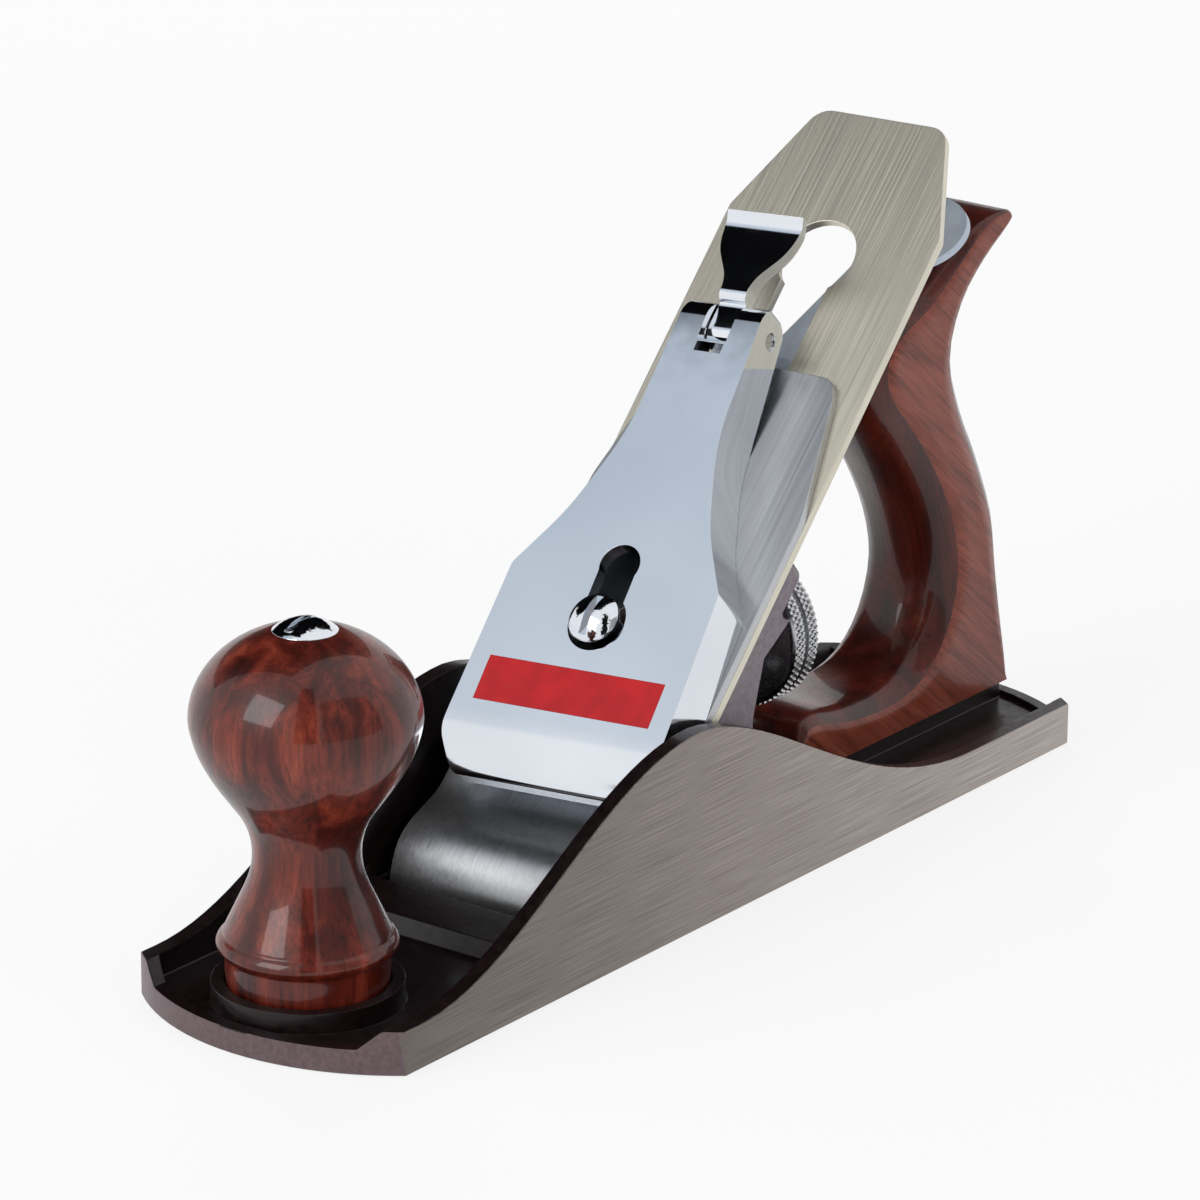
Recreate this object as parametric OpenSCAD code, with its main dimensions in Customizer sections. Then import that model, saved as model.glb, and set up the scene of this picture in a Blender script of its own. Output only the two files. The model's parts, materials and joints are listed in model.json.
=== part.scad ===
// Smoothing plane: an iron bench plane with an adjustable frog, a wheel for the depth of cut,
// a lever that swings the iron sideways, and a wooden knob and tote.
// X runs from toe to heel, Y across, Z up. The origin is the middle of the sole's box.
// Lengths are in millimetres.

/* [Sole and cheeks] */
// Length of the sole from toe to heel
sole_length = 245; // [235:1:260]
// Width of the sole
sole_width = 63.5; // [62:0.5:68]
// How far the rounded toe and heel stand out from their corners
end_arc_rise = 11.3; // [8:0.1:14]
// Thickness of the sole plate
floor_thickness = 4; // [3:0.1:5]
// Thickness of each cheek
cheek_thickness = 3.6; // [2.8:0.1:4]
// Height of the cheeks at their highest point
hump_height = 40.6; // [34:0.2:44]
// Distance from the toe to the highest point of the cheeks
hump_from_toe = 102.5; // [95:0.5:110]
// Distance from the toe to where the cheeks start to rise
rise_from_toe = 15; // [8:0.5:24]
// Distance from the toe to where the cheeks are low again
fall_from_toe = 198; // [185:1:215]
// Height of the cheeks at the toe and the heel
rim_height = 8.8; // [7:0.1:11]
// Height of the lip round the toe and the heel
lip_height = 5; // [4.4:0.1:6.5]
// Width of that lip
lip_width = 3; // [2:0.1:4]

/* [Mouth and seats] */
// Distance from the toe to the cutting edge
toe_to_edge = 76.5; // [72:0.5:82]
// Opening of the mouth in front of the edge
mouth_gap = 3; // [2.8:0.1:4]
// Width of the mouth
mouth_width = 55; // [54.4:0.1:56]
// Height of the thick bar in front of the mouth
mouth_bar_height = 7.2; // [5.6:0.1:9]
// Length of that bar along the sole
mouth_bar_length = 17; // [12:0.5:20]
// Height of the frog's seat above the sole's face
seat_height = 8; // [7:0.1:9]
// Width of the frog's seat
seat_width = 46; // [42:0.5:47]
// Length of the frog's seat behind its foot
seat_tail = 5; // [3:0.5:8]
// Width of the tapped lug for the frog's adjusting screw
lug_width = 13; // [12:0.5:13.5]
// Height of the tapped lug above the seat
lug_height = 9; // [8:0.5:10]
// Diameter of the knob's boss
knob_boss_d = 36.5; // [35:0.5:37]
// Height of the knob's boss above the floor
knob_boss_height = 3; // [2:0.1:4]
// Height of the ring round the knob's foot
knob_ring_height = 1.2; // [0.8:0.1:2]
// Height of the tote's pad above the floor
tote_pad_height = 4; // [3:0.1:5]
// Width of the tote's pad
tote_pad_width = 21; // [18:0.5:24]

/* [Irons] */
// Slope of the bed from the sole
bed_angle = 45; // [44:0.5:46]
// Width of the cutter and the cap iron
iron_width = 50.8; // [48:0.2:51]
// Thickness of the cutter
cutter_thickness = 2; // [1.8:0.1:2.6]
// Length of the cutter
cutter_length = 189; // [180:1:195]
// Slope of the ground bevel
bevel_angle = 25; // [22:1:32]
// Height of the edge above the sole's face at rest
edge_lift = 0.3; // [0.1:0.05:0.5]
// Length of the slanted corners at the cutter's top
cutter_clip_length = 25; // [18:1:30]
// Width of the cutter's top edge
cutter_top_width = 30.6; // [26:0.2:36]
// Width of the cutter's slot
slot_width = 11.1; // [10.8:0.1:12]
// Where the slot starts, up the bed
slot_start = 50; // [46:0.5:54]
// Where the round hole at the slot's top is, up the bed
keyhole_at = 156; // [152:0.5:160]
// Diameter of the round hole
keyhole_d = 17; // [16.2:0.1:19]
// How far the irons are swung towards the far cheek
iron_skew = 1.2; // [-1.2:0.1:1.2]
// Thickness of the cap iron
cap_iron_thickness = 2; // [1.6:0.1:2.4]
// Where the cap iron ends, up the bed
cap_iron_top = 129; // [126:0.5:134]
// Width of the cap iron's top edge
cap_iron_top_width = 35; // [30:0.5:40]
// Length over which the cap iron narrows
cap_iron_taper = 31; // [24:0.5:36]
// Height of the cap iron's hump over its plate
hump_rise = 4.6; // [3.6:0.1:5]
// Where the hump is highest, up the bed
hump_crest = 12; // [11:0.2:13]
// Where the hump ends, up the bed
hump_end = 28; // [25:0.5:30]
// Distance from the edge to the cap iron's lip
lip_setback = 1.2; // [0.8:0.1:2]

/* [Frog] */
// Width of the frog
frog_width = 47; // [44:0.5:47]
// Thickness of the frog's bed
frog_bed_thickness = 6; // [5:0.2:7]
// Thickness of the frog's side webs
frog_web = 3.2; // [3:0.1:3.3]
// Distance from the edge back to the frog's rear face
frog_depth = 55; // [53:0.5:57]
// Height of the frog's foot
frog_foot_height = 6; // [5:0.2:7]
// Where the frog's full width ends, up the bed
frog_shoulder = 91; // [88:0.5:93]
// Width of the frog's top
frog_top_width = 30; // [28:0.5:34]
// How far the frog can be moved towards the toe
frog_travel_front = 1; // [0.5:0.1:1]
// How far the frog can be moved towards the heel
frog_travel_back = 1.5; // [0.5:0.1:1.5]
// Distance of each frog screw from the plane's middle
frog_screw_y = 14; // [13.9:0.1:14.1]
// Distance from the edge back to the frog screws
frog_screw_back = 42; // [40:0.5:44]
// Diameter of the frog screws
frog_screw_d = 6.3; // [5:0.1:6.4]
// Diameter of the frog screws' heads
frog_screw_head_d = 9.2; // [9:0.1:9.6]
// Diameter of the washers
washer_d = 10.4; // [10:0.1:10.6]
// Thickness of the washers
washer_thickness = 1.2; // [0.8:0.1:1.6]
// Diameter of the frog's adjusting screw
adjuster_d = 6; // [5:0.1:6.4]
// Pitch of the frog's adjusting screw
adjuster_pitch = 1.06; // [0.8:0.01:1.25]
// Height of the frog's adjusting screw above the seat
adjuster_rise = 4.6; // [4.2:0.1:5]
// Diameter of the adjusting screw's head
adjuster_head_d = 8.6; // [8:0.1:9]

/* [Depth adjuster] */
// Where the yoke's nose meets the cap iron, up the bed
yoke_at = 84; // [83:0.2:85]
// Distance from the cutter's face down to the yoke's pin
yoke_pin_depth = 10; // [9.6:0.1:10.4]
// Diameter of the yoke's pin
yoke_pin_d = 4; // [3:0.1:4.4]
// Height of the depth stud above the sole's face
stud_height = 39; // [38:0.2:40]
// Diameter of the depth stud
stud_d = 6.35; // [5:0.05:6.5]
// Diameter of the depth nut
wheel_d = 31.5; // [29:0.1:32]
// Thickness of the depth nut's knurled wheel
wheel_thickness = 8.5; // [6:0.1:9]
// Distance from the edge back to the wheel's front face
wheel_back = 80; // [79:0.2:81]
// Number of knurls round the wheel
knurl_count = 60; // [40:2:80]
// How far the cutter can be drawn back up the bed
feed_up = 2.5; // [1.5:0.1:3]
// How far the cutter can be fed down the bed
feed_down = 1; // [0.6:0.1:1]

/* [Lateral lever] */
// Distance between the lateral lever's rivet and its roller
lever_offset = 11.5; // [11:0.1:13]
// Diameter of the roller
roller_d = 10.4; // [9.8:0.05:10.6]
// Thickness of the lateral lever
lateral_thickness = 1.8; // [1.4:0.1:2]
// Width of the lateral lever's arm
lateral_width = 11; // [9:0.5:13]
// Length of the arm from its bend to the middle of the thumb disc
lateral_arm = 43; // [40:0.5:48]
// Slope of the arm away from the bed
lateral_slope = 19; // [15:0.5:22]
// Diameter of the thumb disc
thumb_disc_d = 22; // [18:0.5:24]

/* [Lever cap] */
// Width of the lever cap's lower part
lever_cap_width = 50.4; // [46:0.2:50.8]
// Width of the lever cap's top
lever_cap_top_width = 18.6; // [18:0.1:21]
// Where the lever cap's lower edge is, up the bed
lever_cap_start = 27; // [27:0.2:28]
// Where the lever cap widens to its full width, up the bed
lever_cap_shoulder = 72; // [68:0.5:76]
// Where the lever cap's narrow top starts, up the bed
lever_cap_neck = 104; // [100:0.5:108]
// Where the lever cap ends, up the bed
lever_cap_end = 136; // [135:0.2:138]
// Depth of the lever cap's walls at its top
lever_cap_depth = 9.6; // [9:0.1:10]
// Thickness of the lever cap's face
lever_cap_face = 3; // [2.4:0.1:3.2]
// Thickness of the lever cap's walls
lever_cap_wall = 3; // [2.4:0.1:3.2]
// Distance from the cutter's face to the line of the lever cap's face at its lower edge
lever_cap_rise = 12.6; // [12.2:0.1:13]
// Slope of the lever cap's face from the bed
lever_cap_slope = 1.7; // [1.5:0.1:2]
// How far the lever cap's rounded lower edge drops below that line
lever_cap_drop = 3.4; // [2.6:0.1:3.6]
// Radius of the bend at the top of the lever cap's face
lever_cap_bend = 5; // [4:0.1:5.4]
// How far the released lever cap is swung on its screw, beyond the irons
lever_cap_skew = 3; // [0:0.1:3.2]
// Where the lever-cap screw is, up the bed
cap_screw_at = 62.4; // [61.5:0.2:63]
// Diameter of the lever-cap screw
cap_screw_d = 7.9; // [7:0.1:8]
// Diameter of the lever-cap screw's head
cap_screw_head_d = 10.6; // [10.2:0.1:11]
// Diameter of the keyhole's large lobe
large_lobe_d = 12.6; // [12.2:0.1:13]
// Diameter of the keyhole's small lobe
small_lobe_d = 9; // [8.8:0.1:9.4]
// Distance between the two lobes
lobe_distance = 12.5; // [11.5:0.1:12.5]
// Width of the enamel panel
panel_width = 41; // [36:0.5:43]
// Height of the enamel panel
panel_height = 9.6; // [7:0.2:10]
// Where the middle of the enamel panel is, up the bed
panel_at = 47; // [45:0.2:48]
// Where the cam lever's pin is, up the bed
cam_pin_at = 130; // [129.6:0.1:130.4]
// Distance from the cutter's face to the cam lever's pin
cam_pin_n = 10; // [9.9:0.1:10.1]
// Diameter of the cam lever's pin
cam_pin_d = 3.6; // [3:0.1:4]
// Distance from the cam lever's pin to its tip
cam_lever_length = 26; // [22:0.5:28]
// Width of the cam lever's tip
cam_lever_width = 17.8; // [14:0.2:19]

/* [Knob] */
// Distance from the toe to the middle of the knob
knob_from_toe = 22; // [21.5:0.1:24]
// Height of the knob's wood
knob_height = 69.4; // [64:0.2:74]
// Greatest diameter of the knob
knob_d = 43.4; // [38:0.2:45]
// Height of the knob's widest part
knob_ball_height = 52; // [48:0.5:54]
// Diameter of the knob's neck
knob_neck_d = 20.4; // [18:0.2:24]
// Height of the knob's neck
knob_neck_height = 26.5; // [22:0.5:29]
// Diameter of the bead round the knob's base
knob_bead_d = 34.2; // [32.6:0.1:35]
// Diameter of the knob's foot
knob_foot_d = 29.8; // [28:0.2:30]
// Height of the bead
knob_bead_height = 8.6; // [7.5:0.1:9.5]
// Diameter of the long bolts in the knob and the tote
long_bolt_d = 6; // [5:0.1:6.4]
// Diameter of the domed nuts
dome_nut_d = 12.4; // [11.4:0.1:13]

/* [Tote] */
// Distance from the heel to the tote's rear end
tote_from_heel = 4; // [3:0.5:6]
// Thickness of the tote
tote_thickness = 24; // [22:0.5:26]
// Slope of the tote's bolt from upright
tote_bolt_slope = 20; // [19:0.2:21]
// Distance from the tote's rear end to its bolt, at the pads
tote_bolt_from_end = 6.6; // [6:0.2:7.4]

/* [Fits] */
// Gap round a pin or a shaft in its bore
bore_gap = 0.05; // [0.03:0.01:0.08]
// Gap between flat faces that slide on each other
slide_gap = 0.05; // [0.03:0.01:0.1]
// Gap between parts that pass each other
running_gap = 0.3; // [0.2:0.05:0.4]

/* [Hidden] */
$fn = 48;
arc_steps = 6;
toe_x = -sole_length / 2;
heel_x = sole_length / 2;
corner_x = heel_x - end_arc_rise;
end_radius = (pow(end_arc_rise, 2) + pow(sole_width / 2, 2)) / (2 * end_arc_rise);
inner_width = sole_width - 2 * cheek_thickness;
hump_x = toe_x + hump_from_toe;
rise_x = toe_x + rise_from_toe;
fall_x = toe_x + fall_from_toe;
edge_x = toe_x + toe_to_edge;
profile_steps = 24;
hole_floor = 1.2;

// The bed: s runs up the bed from the sole, n stands on the cutter's upper face
function bed_x(s, n) = edge_x + s * cos(bed_angle) - n * sin(bed_angle);
function bed_z(s, n) = s * sin(bed_angle) + n * cos(bed_angle);
function bed_line(z, n) = edge_x + z / tan(bed_angle) - n / sin(bed_angle);
frog_bed_n = -cutter_thickness - slide_gap;
frog_back_n = frog_bed_n - frog_bed_thickness;

// Frog
frog_rear_x = edge_x + frog_depth;
frog_screw_x = edge_x + frog_screw_back;
lug_front_x = frog_rear_x - 19;
lug_rear_x = frog_rear_x - 5;
recess_width = lug_width + 2.6;
frog_foot_width = frog_width - 0.8;
clip_thickness = 1.5;
adjuster_z = seat_height + adjuster_rise;
adjuster_neck_d = adjuster_d - 2;
adjuster_head_length = 4;
clip_width = 11;
clip_bolt_d = 3.6;
clip_bolt_z = seat_height + 15;
stud_boss_height = 15;
stud_boss_x = frog_rear_x + 9;
stud_boss_width = 16;
stud_root_x = frog_rear_x + 0.5;
stud_end_x = edge_x + wheel_back + wheel_thickness + 1;

// Depth adjuster: the feed turns the yoke, which draws the nut along its stud
yoke_x = bed_x(yoke_at, -yoke_pin_depth);
yoke_z = bed_z(yoke_at, -yoke_pin_depth);
nose_reach = yoke_pin_depth + cap_iron_thickness - 0.2;
wheel_x = edge_x + wheel_back;
hub_d = 14;
hub_flange_d = 12;
groove_d = 9;
groove_width = 4.2;
fork_x = wheel_x - 5;
fork_pin_d = groove_width - 0.4;
fork_inner = hub_flange_d / 2 + running_gap;
fork_thickness = 2;
fork_width = 2 * (fork_inner + fork_thickness);
ear_thickness = 3;
ear_inner = fork_width / 2 + running_gap;
hub_front_x = fork_x - groove_width / 2 - 1.5;
knurl_depth = 0.5;
wheel_groove_width = 1.6;
wheel_groove_depth = 1.4;

// Lateral lever, laid out up the bed from the cap iron's screw
iron_screw_at = yoke_at + 14;
iron_screw_head_d = keyhole_d - 1.5;
iron_screw_d = 8;
iron_screw_head_height = 3.8;
lever_end_r = 6;
roller_at = iron_screw_at + iron_screw_head_d / 2 + feed_up + running_gap + lever_end_r;
rivet_at = roller_at + lever_offset;
lateral_swing = asin((rivet_at - cap_screw_at) * sin(iron_skew) / lever_offset) - iron_skew;
frog_top = rivet_at + 6.5;
bend_at = frog_top + 1;
lateral_top_n = frog_bed_n - 0.7;
lateral_low_n = lateral_top_n - lateral_thickness;
tongue_n = lateral_low_n - slide_gap;
window_start = yoke_at - 7;
window_end = roller_at - 3;
window_width = iron_screw_head_d + 3.4;
roller_pin_d = 4;
lateral_rivet_d = 5;

// Lever cap, in a frame that leans with its face
kidney_at = cap_screw_at;
lip_under = hump_rise + cap_iron_thickness + 0.5;
wall_under = cap_iron_thickness + slide_gap;
cam_hub_d = 7.4;
cam_neck_width = 6.2;
spring_thickness = 0.8;
spring_width = 10;
spring_n = cap_iron_thickness + running_gap;
cam_bottom = spring_n + spring_thickness + 0.2;
spring_rivet_at = 97;
spring_rivet_d = 3;
spring_seat_n = spring_n + 3.6;
head_n = lever_face_n(kidney_at + lobe_distance) + running_gap;
head_height = 2.2;
panel_depth = 0.5;
function lever_face_n(s) = lever_cap_rise + (s - lever_cap_start) * tan(lever_cap_slope);

// Knob and tote
knob_x = toe_x + knob_from_toe;
knob_z = floor_thickness + knob_boss_height;
knob_crown = (knob_height - knob_ball_height) / cos(asin(dome_nut_d / knob_d));
dome_nut_height = 2.4;
dome_nut_neck_d = 9;
dome_nut_neck_length = 12;
tote_z = floor_thickness + tote_pad_height;
tote_end_x = heel_x - tote_from_heel;
tote_bolt_x = tote_end_x - tote_bolt_from_end;
tote_bolt_reach = 95.6;
// Where the tote's bolt ends along its slope, clear above the sole's face
tote_thread_end = (hole_floor + 0.5 - tote_z + long_bolt_d / 2 * sin(tote_bolt_slope)) / cos(tote_bolt_slope);
pad_inset = 1;

// Helpers

function unit(v) = v / norm(v);

// Points of an arc that rounds the corner b between a and c
function corner(a, b, c, r) = r <= 0 ? [b] : let(
    u = unit(a - b),
    v = unit(c - b),
    h = acos(u * v) / 2,
    k = b + unit(u + v) * r / sin(h),
    p = b + u * r / tan(h),
    start = atan2(p[1] - k[1], p[0] - k[0]),
    side = cross(b - a, c - b) > 0 ? 1 : -1)
    [for (i = [0:arc_steps]) let(t = start + side * (180 - 2 * h) * i / arc_steps)
        k + r * [cos(t), sin(t)]];

// An outline of corners [x, y, radius] with each corner rounded
function rounded(c) = [for (i = [0:len(c) - 1]) let(
    a = c[(i + len(c) - 1) % len(c)],
    b = c[i],
    d = c[(i + 1) % len(c)])
    each corner([a[0], a[1]], [b[0], b[1]], [d[0], d[1]], b[2])];

// An outline given for one side of the bed's middle line, with its mirror image
function both_sides(c) = concat(c, [for (i = [len(c) - 1:-1:0]) [c[i][0], -c[i][1], c[i][2]]]);

// A smooth step from 0 to 1
function ease(t) = (1 - cos(180 * t)) / 2;

// A smooth open curve through points of any dimension
function curve_point(a, b, c, d, t) = 0.5 * (2 * b + (c - a) * t
    + (2 * a - 5 * b + 4 * c - d) * t * t + (3 * b - a - 3 * c + d) * t * t * t);
function curve(p, steps) = [for (i = [0:len(p) - 2]) for (j = [0:steps - 1])
    curve_point(p[max(i - 1, 0)], p[i], p[i + 1], p[min(i + 2, len(p) - 1)], j / steps),
    p[len(p) - 1]];

// Children drawn in X and Z become a solid of this width across the plane
module across(width) {
    rotate([90, 0, 0])
        linear_extrude(width, center = true)
            children();
}

// Children drawn in s, y and n are placed on the bed
module on_bed() {
    translate([edge_x, 0, 0])
        rotate([0, -bed_angle, 0])
            children();
}

// Children are placed on the bed and swung with the irons about the lever-cap screw
module on_irons() {
    on_bed()
        translate([cap_screw_at, 0, 0])
            rotate(iron_skew)
                translate([-cap_screw_at, 0, 0])
                    children();
}

// Children are swung further with the released lever cap about its screw
module on_lever_cap() {
    on_irons()
        translate([cap_screw_at, 0, 0])
            rotate(lever_cap_skew)
                translate([-cap_screw_at, 0, 0])
                    children();
}

// Children are placed on the bed and swung with the lateral lever about its rivet
module on_lateral_lever() {
    on_bed()
        translate([rivet_at, 0, 0])
            rotate(-lateral_swing)
                translate([-rivet_at, 0, 0])
                    children();
}

// Children lean with the lever cap's face, whose lower edge is at s = lever_cap_start
module on_lever_face() {
    translate([lever_cap_start, 0, lever_cap_rise])
        rotate([0, -lever_cap_slope, 0])
            children();
}

// A flat bar with round ends between two points of a drawing
module bar(p, q, width) {
    translate(p)
        rotate(atan2(q[1] - p[1], q[0] - p[0]))
            translate([0, -width / 2])
                square([norm(q - p), width]);
    translate(p)
        circle(d = width);
    translate(q)
        circle(d = width);
}

// A slot along s with round ends
module slot_cut(from_s, to_s, width, low, high) {
    translate([from_s, -width / 2, low])
        cube([to_s - from_s, width, high - low]);
    for (s = [from_s, to_s])
        translate([s, 0, low])
            cylinder(d = width, h = high - low);
}

// A domed cap of a nut or a screw, with its slot
module slotted_dome(d, height, slot) {
    dome_r = (pow(d / 2, 2) + pow(height, 2)) / (2 * height);
    difference() {
        rotate_extrude()
            polygon(concat([[0, 0]], [for (i = [0:8]) let(r = d / 2 * (1 - i / 8))
                [r, sqrt(pow(dome_r, 2) - pow(r, 2)) - dome_r + height]]));
        translate([-d, -slot / 2, height * 0.35])
            cube([2 * d, slot, height]);
    }
}

// Sole, cheeks and seats

// The end arcs are cut one at a time, because each circle is shorter than the sole
module sole_block(height) {
    intersection() {
        translate([0, 0, height / 2])
            cube([sole_length, sole_width, height], center = true);
        union() {
            translate([0, 0, height / 2])
                cube([2 * corner_x - end_radius, sole_width, height], center = true);
            for (side = [-1, 1])
                intersection() {
                    translate([side * (heel_x - end_radius), 0, 0])
                        cylinder(r = end_radius, h = height, $fn = 180);
                    translate([side * corner_x, 0, height / 2])
                        cube([end_radius * 1.2, sole_width, height], center = true);
                }
        }
    }
}

module cheek_profile() {
    polygon(concat(
        [[toe_x, 0], [toe_x, rim_height]],
        [for (i = [0:profile_steps]) let(t = i / profile_steps)
            [rise_x + (hump_x - rise_x) * t, rim_height + (hump_height - rim_height) * ease(t)]],
        [for (i = [1:profile_steps]) let(t = i / profile_steps)
            [hump_x + (fall_x - hump_x) * t,
                hump_height - (hump_height - rim_height) * ease(pow(t, 0.82))]],
        [[heel_x, rim_height], [heel_x, 0]]));
}

// The lip dips between the cheeks' ends
module lip_profile() {
    half = sole_width / 2;
    inner = inner_width / 2;
    polygon([[-half, 0], [-half, rim_height], [-inner, rim_height], [-inner + 4, lip_height],
        [inner - 4, lip_height], [inner, rim_height], [half, rim_height], [half, 0]]);
}

module end_lips() {
    intersection() {
        difference() {
            sole_block(rim_height);
            translate([0, 0, -1])
                for (side = [-1, 1])
                    translate([side * (heel_x - end_radius), 0, 0])
                        cylinder(r = end_radius - lip_width, h = rim_height + 2, $fn = 180);
            translate([0, 0, rim_height / 2])
                cube([2 * (corner_x - lip_width), sole_width + 2, rim_height + 2], center = true);
        }
        rotate([90, 0, 90])
            linear_extrude(sole_length, center = true)
                lip_profile();
    }
}

// The sole's face slopes up to the bed behind the mouth
module frog_seat() {
    gap = running_gap + frog_travel_back;
    across(seat_width)
        polygon([[bed_line(0, frog_bed_n) + gap, 0], [bed_line(seat_height, frog_bed_n) + gap, seat_height],
            [frog_rear_x + seat_tail, seat_height], [frog_rear_x + seat_tail, 0]]);
    translate([lug_front_x, -lug_width / 2, floor_thickness])
        cube([lug_rear_x - lug_front_x, lug_width, seat_height + lug_height - floor_thickness]);
}

module mouth_cut() {
    front = edge_x - mouth_gap;
    across(mouth_width)
        polygon([[front, -1], [front, 1.2], [front - 2.6, mouth_bar_height + 1],
            [bed_line(mouth_bar_height + 1, frog_bed_n) + running_gap + frog_travel_back, mouth_bar_height + 1],
            [bed_line(-1, frog_bed_n) + running_gap + frog_travel_back, -1]]);
}

module mouth_bar() {
    front = edge_x - mouth_gap - mouth_bar_length;
    across(inner_width)
        polygon([[front, 0], [front, floor_thickness], [front + 2, mouth_bar_height],
            [edge_x - mouth_gap + 1, mouth_bar_height], [edge_x - mouth_gap + 1, 0]]);
}

module body() {
    color("dimgray")
    difference() {
        union() {
            sole_block(floor_thickness);
            intersection() {
                sole_block(hump_height);
                difference() {
                    across(sole_width)
                        cheek_profile();
                    translate([0, 0, hump_height / 2])
                        cube([sole_length + 2, inner_width, hump_height + 2], center = true);
                }
            }
            end_lips();
            mouth_bar();
            frog_seat();
            translate([knob_x, 0, 0])
                cylinder(d = knob_boss_d, h = knob_z, $fn = 72);
            difference() {
                translate([knob_x, 0, 0])
                    cylinder(d = knob_boss_d, h = knob_z + knob_ring_height, $fn = 72);
                translate([knob_x, 0, -1])
                    cylinder(d = knob_foot_d + 1.6, h = knob_z + knob_ring_height + 2, $fn = 72);
            }
            translate([tote_front_x() + pad_inset, -tote_pad_width / 2, 0])
                cube([tote_end_x - tote_front_x() - 2 * pad_inset, tote_pad_width, tote_z]);
        }
        mouth_cut();
        translate([knob_x, 0, hole_floor])
            cylinder(d = long_bolt_d + 2 * bore_gap, h = knob_z + 2);
        at_tote_bolt()
            translate([0, 0, tote_thread_end - 0.5])
                cylinder(d = long_bolt_d + 2 * bore_gap, h = 40);
        for (side = [-1, 1])
            translate([frog_screw_x, side * frog_screw_y, hole_floor])
                cylinder(d = frog_screw_d + 2 * bore_gap, h = seat_height + 2);
        translate([lug_front_x - 1, 0, adjuster_z])
            rotate([0, 90, 0])
                cylinder(d = adjuster_d + 2 * bore_gap, h = lug_rear_x - lug_front_x + 2);
    }
}

// Frog and its fixings

// The side webs: inside the bed in front, a hollow curve behind
module web_profile() {
    top_s = frog_shoulder - 5;
    low = seat_height + slide_gap;
    front_n = frog_bed_n - frog_bed_thickness / 2;
    polygon([[bed_line(low - 2, front_n), low - 2], [frog_rear_x, low - 2],
        [frog_rear_x - 0.5, low + 12], [frog_rear_x, low + 25], [frog_rear_x + 3.4, low + 36.4],
        [bed_x(top_s - 3, frog_back_n - 4), bed_z(top_s - 3, frog_back_n - 4)],
        [bed_x(top_s, frog_back_n + 1), bed_z(top_s, frog_back_n + 1)],
        [bed_x(top_s - 1, front_n), bed_z(top_s - 1, front_n)]]);
}

module frog_plate() {
    half = frog_width / 2;
    top = frog_top_width / 2;
    on_bed()
        difference() {
            translate([0, 0, frog_back_n])
                linear_extrude(frog_bed_thickness)
                    polygon(rounded(both_sides([[0, half, 0], [frog_shoulder, half, 3],
                        [frog_shoulder + 6, top, 6], [frog_top, top, 10]])));
            translate([roller_at - lever_end_r - 0.8, -half, tongue_n])
                cube([frog_top, 2 * half, frog_bed_thickness]);
            slot_cut(window_start + window_width / 2, window_end - window_width / 2, window_width,
                frog_back_n - 1, frog_bed_n + 1);
        }
}

module frog() {
    low = seat_height + slide_gap;
    color("rosybrown")
    difference() {
        union() {
            frog_plate();
            for (side = [-1, 1])
                translate([0, side * (frog_foot_width - frog_web) / 2, 0])
                    across(frog_web)
                        web_profile();
            across(frog_foot_width)
                polygon([[bed_line(low - 2, frog_back_n + 1), low - 2], [frog_rear_x, low - 2],
                    [frog_rear_x, low + frog_foot_height],
                    [bed_line(low + frog_foot_height, frog_back_n + 1), low + frog_foot_height]]);
            across(stud_boss_width)
                polygon([[bed_line(stud_height - 11, frog_back_n + 1), stud_height - 11],
                    [frog_rear_x, stud_height - 11],
                    [stud_boss_x, stud_height - stud_boss_height / 2],
                    [stud_boss_x, stud_height + stud_boss_height / 2 - 2],
                    [bed_line(stud_height + 8, frog_back_n + 1), stud_height + 8]]);
            across(clip_width + 4)
                polygon([[frog_rear_x - 4, low + 8.5], [frog_rear_x, low + 8.5],
                    [frog_rear_x, stud_height - 9], [frog_rear_x - 4, stud_height - 9]]);
            across(recess_width + 2 * frog_web)
                polygon([[bed_line(low - 2, frog_back_n + 1), low - 2], [frog_rear_x, low - 2],
                    [frog_rear_x, stud_height - 10],
                    [bed_line(stud_height - 10, frog_back_n + 1), stud_height - 10]]);
            for (side = [-1, 1])
                translate([0, side * (ear_inner + ear_thickness / 2), 0])
                    across(ear_thickness) {
                        translate([yoke_x, yoke_z])
                            circle(d = yoke_pin_d + 5);
                        polygon([[bed_x(yoke_at - 8, frog_back_n + 1), bed_z(yoke_at - 8, frog_back_n + 1)],
                            [yoke_x + 1, yoke_z - 4.3], [yoke_x + 4.3, yoke_z + 1],
                            [bed_x(yoke_at + 6, frog_back_n + 1), bed_z(yoke_at + 6, frog_back_n + 1)]]);
                    }
        }
        frog_cuts();
    }
}

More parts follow.
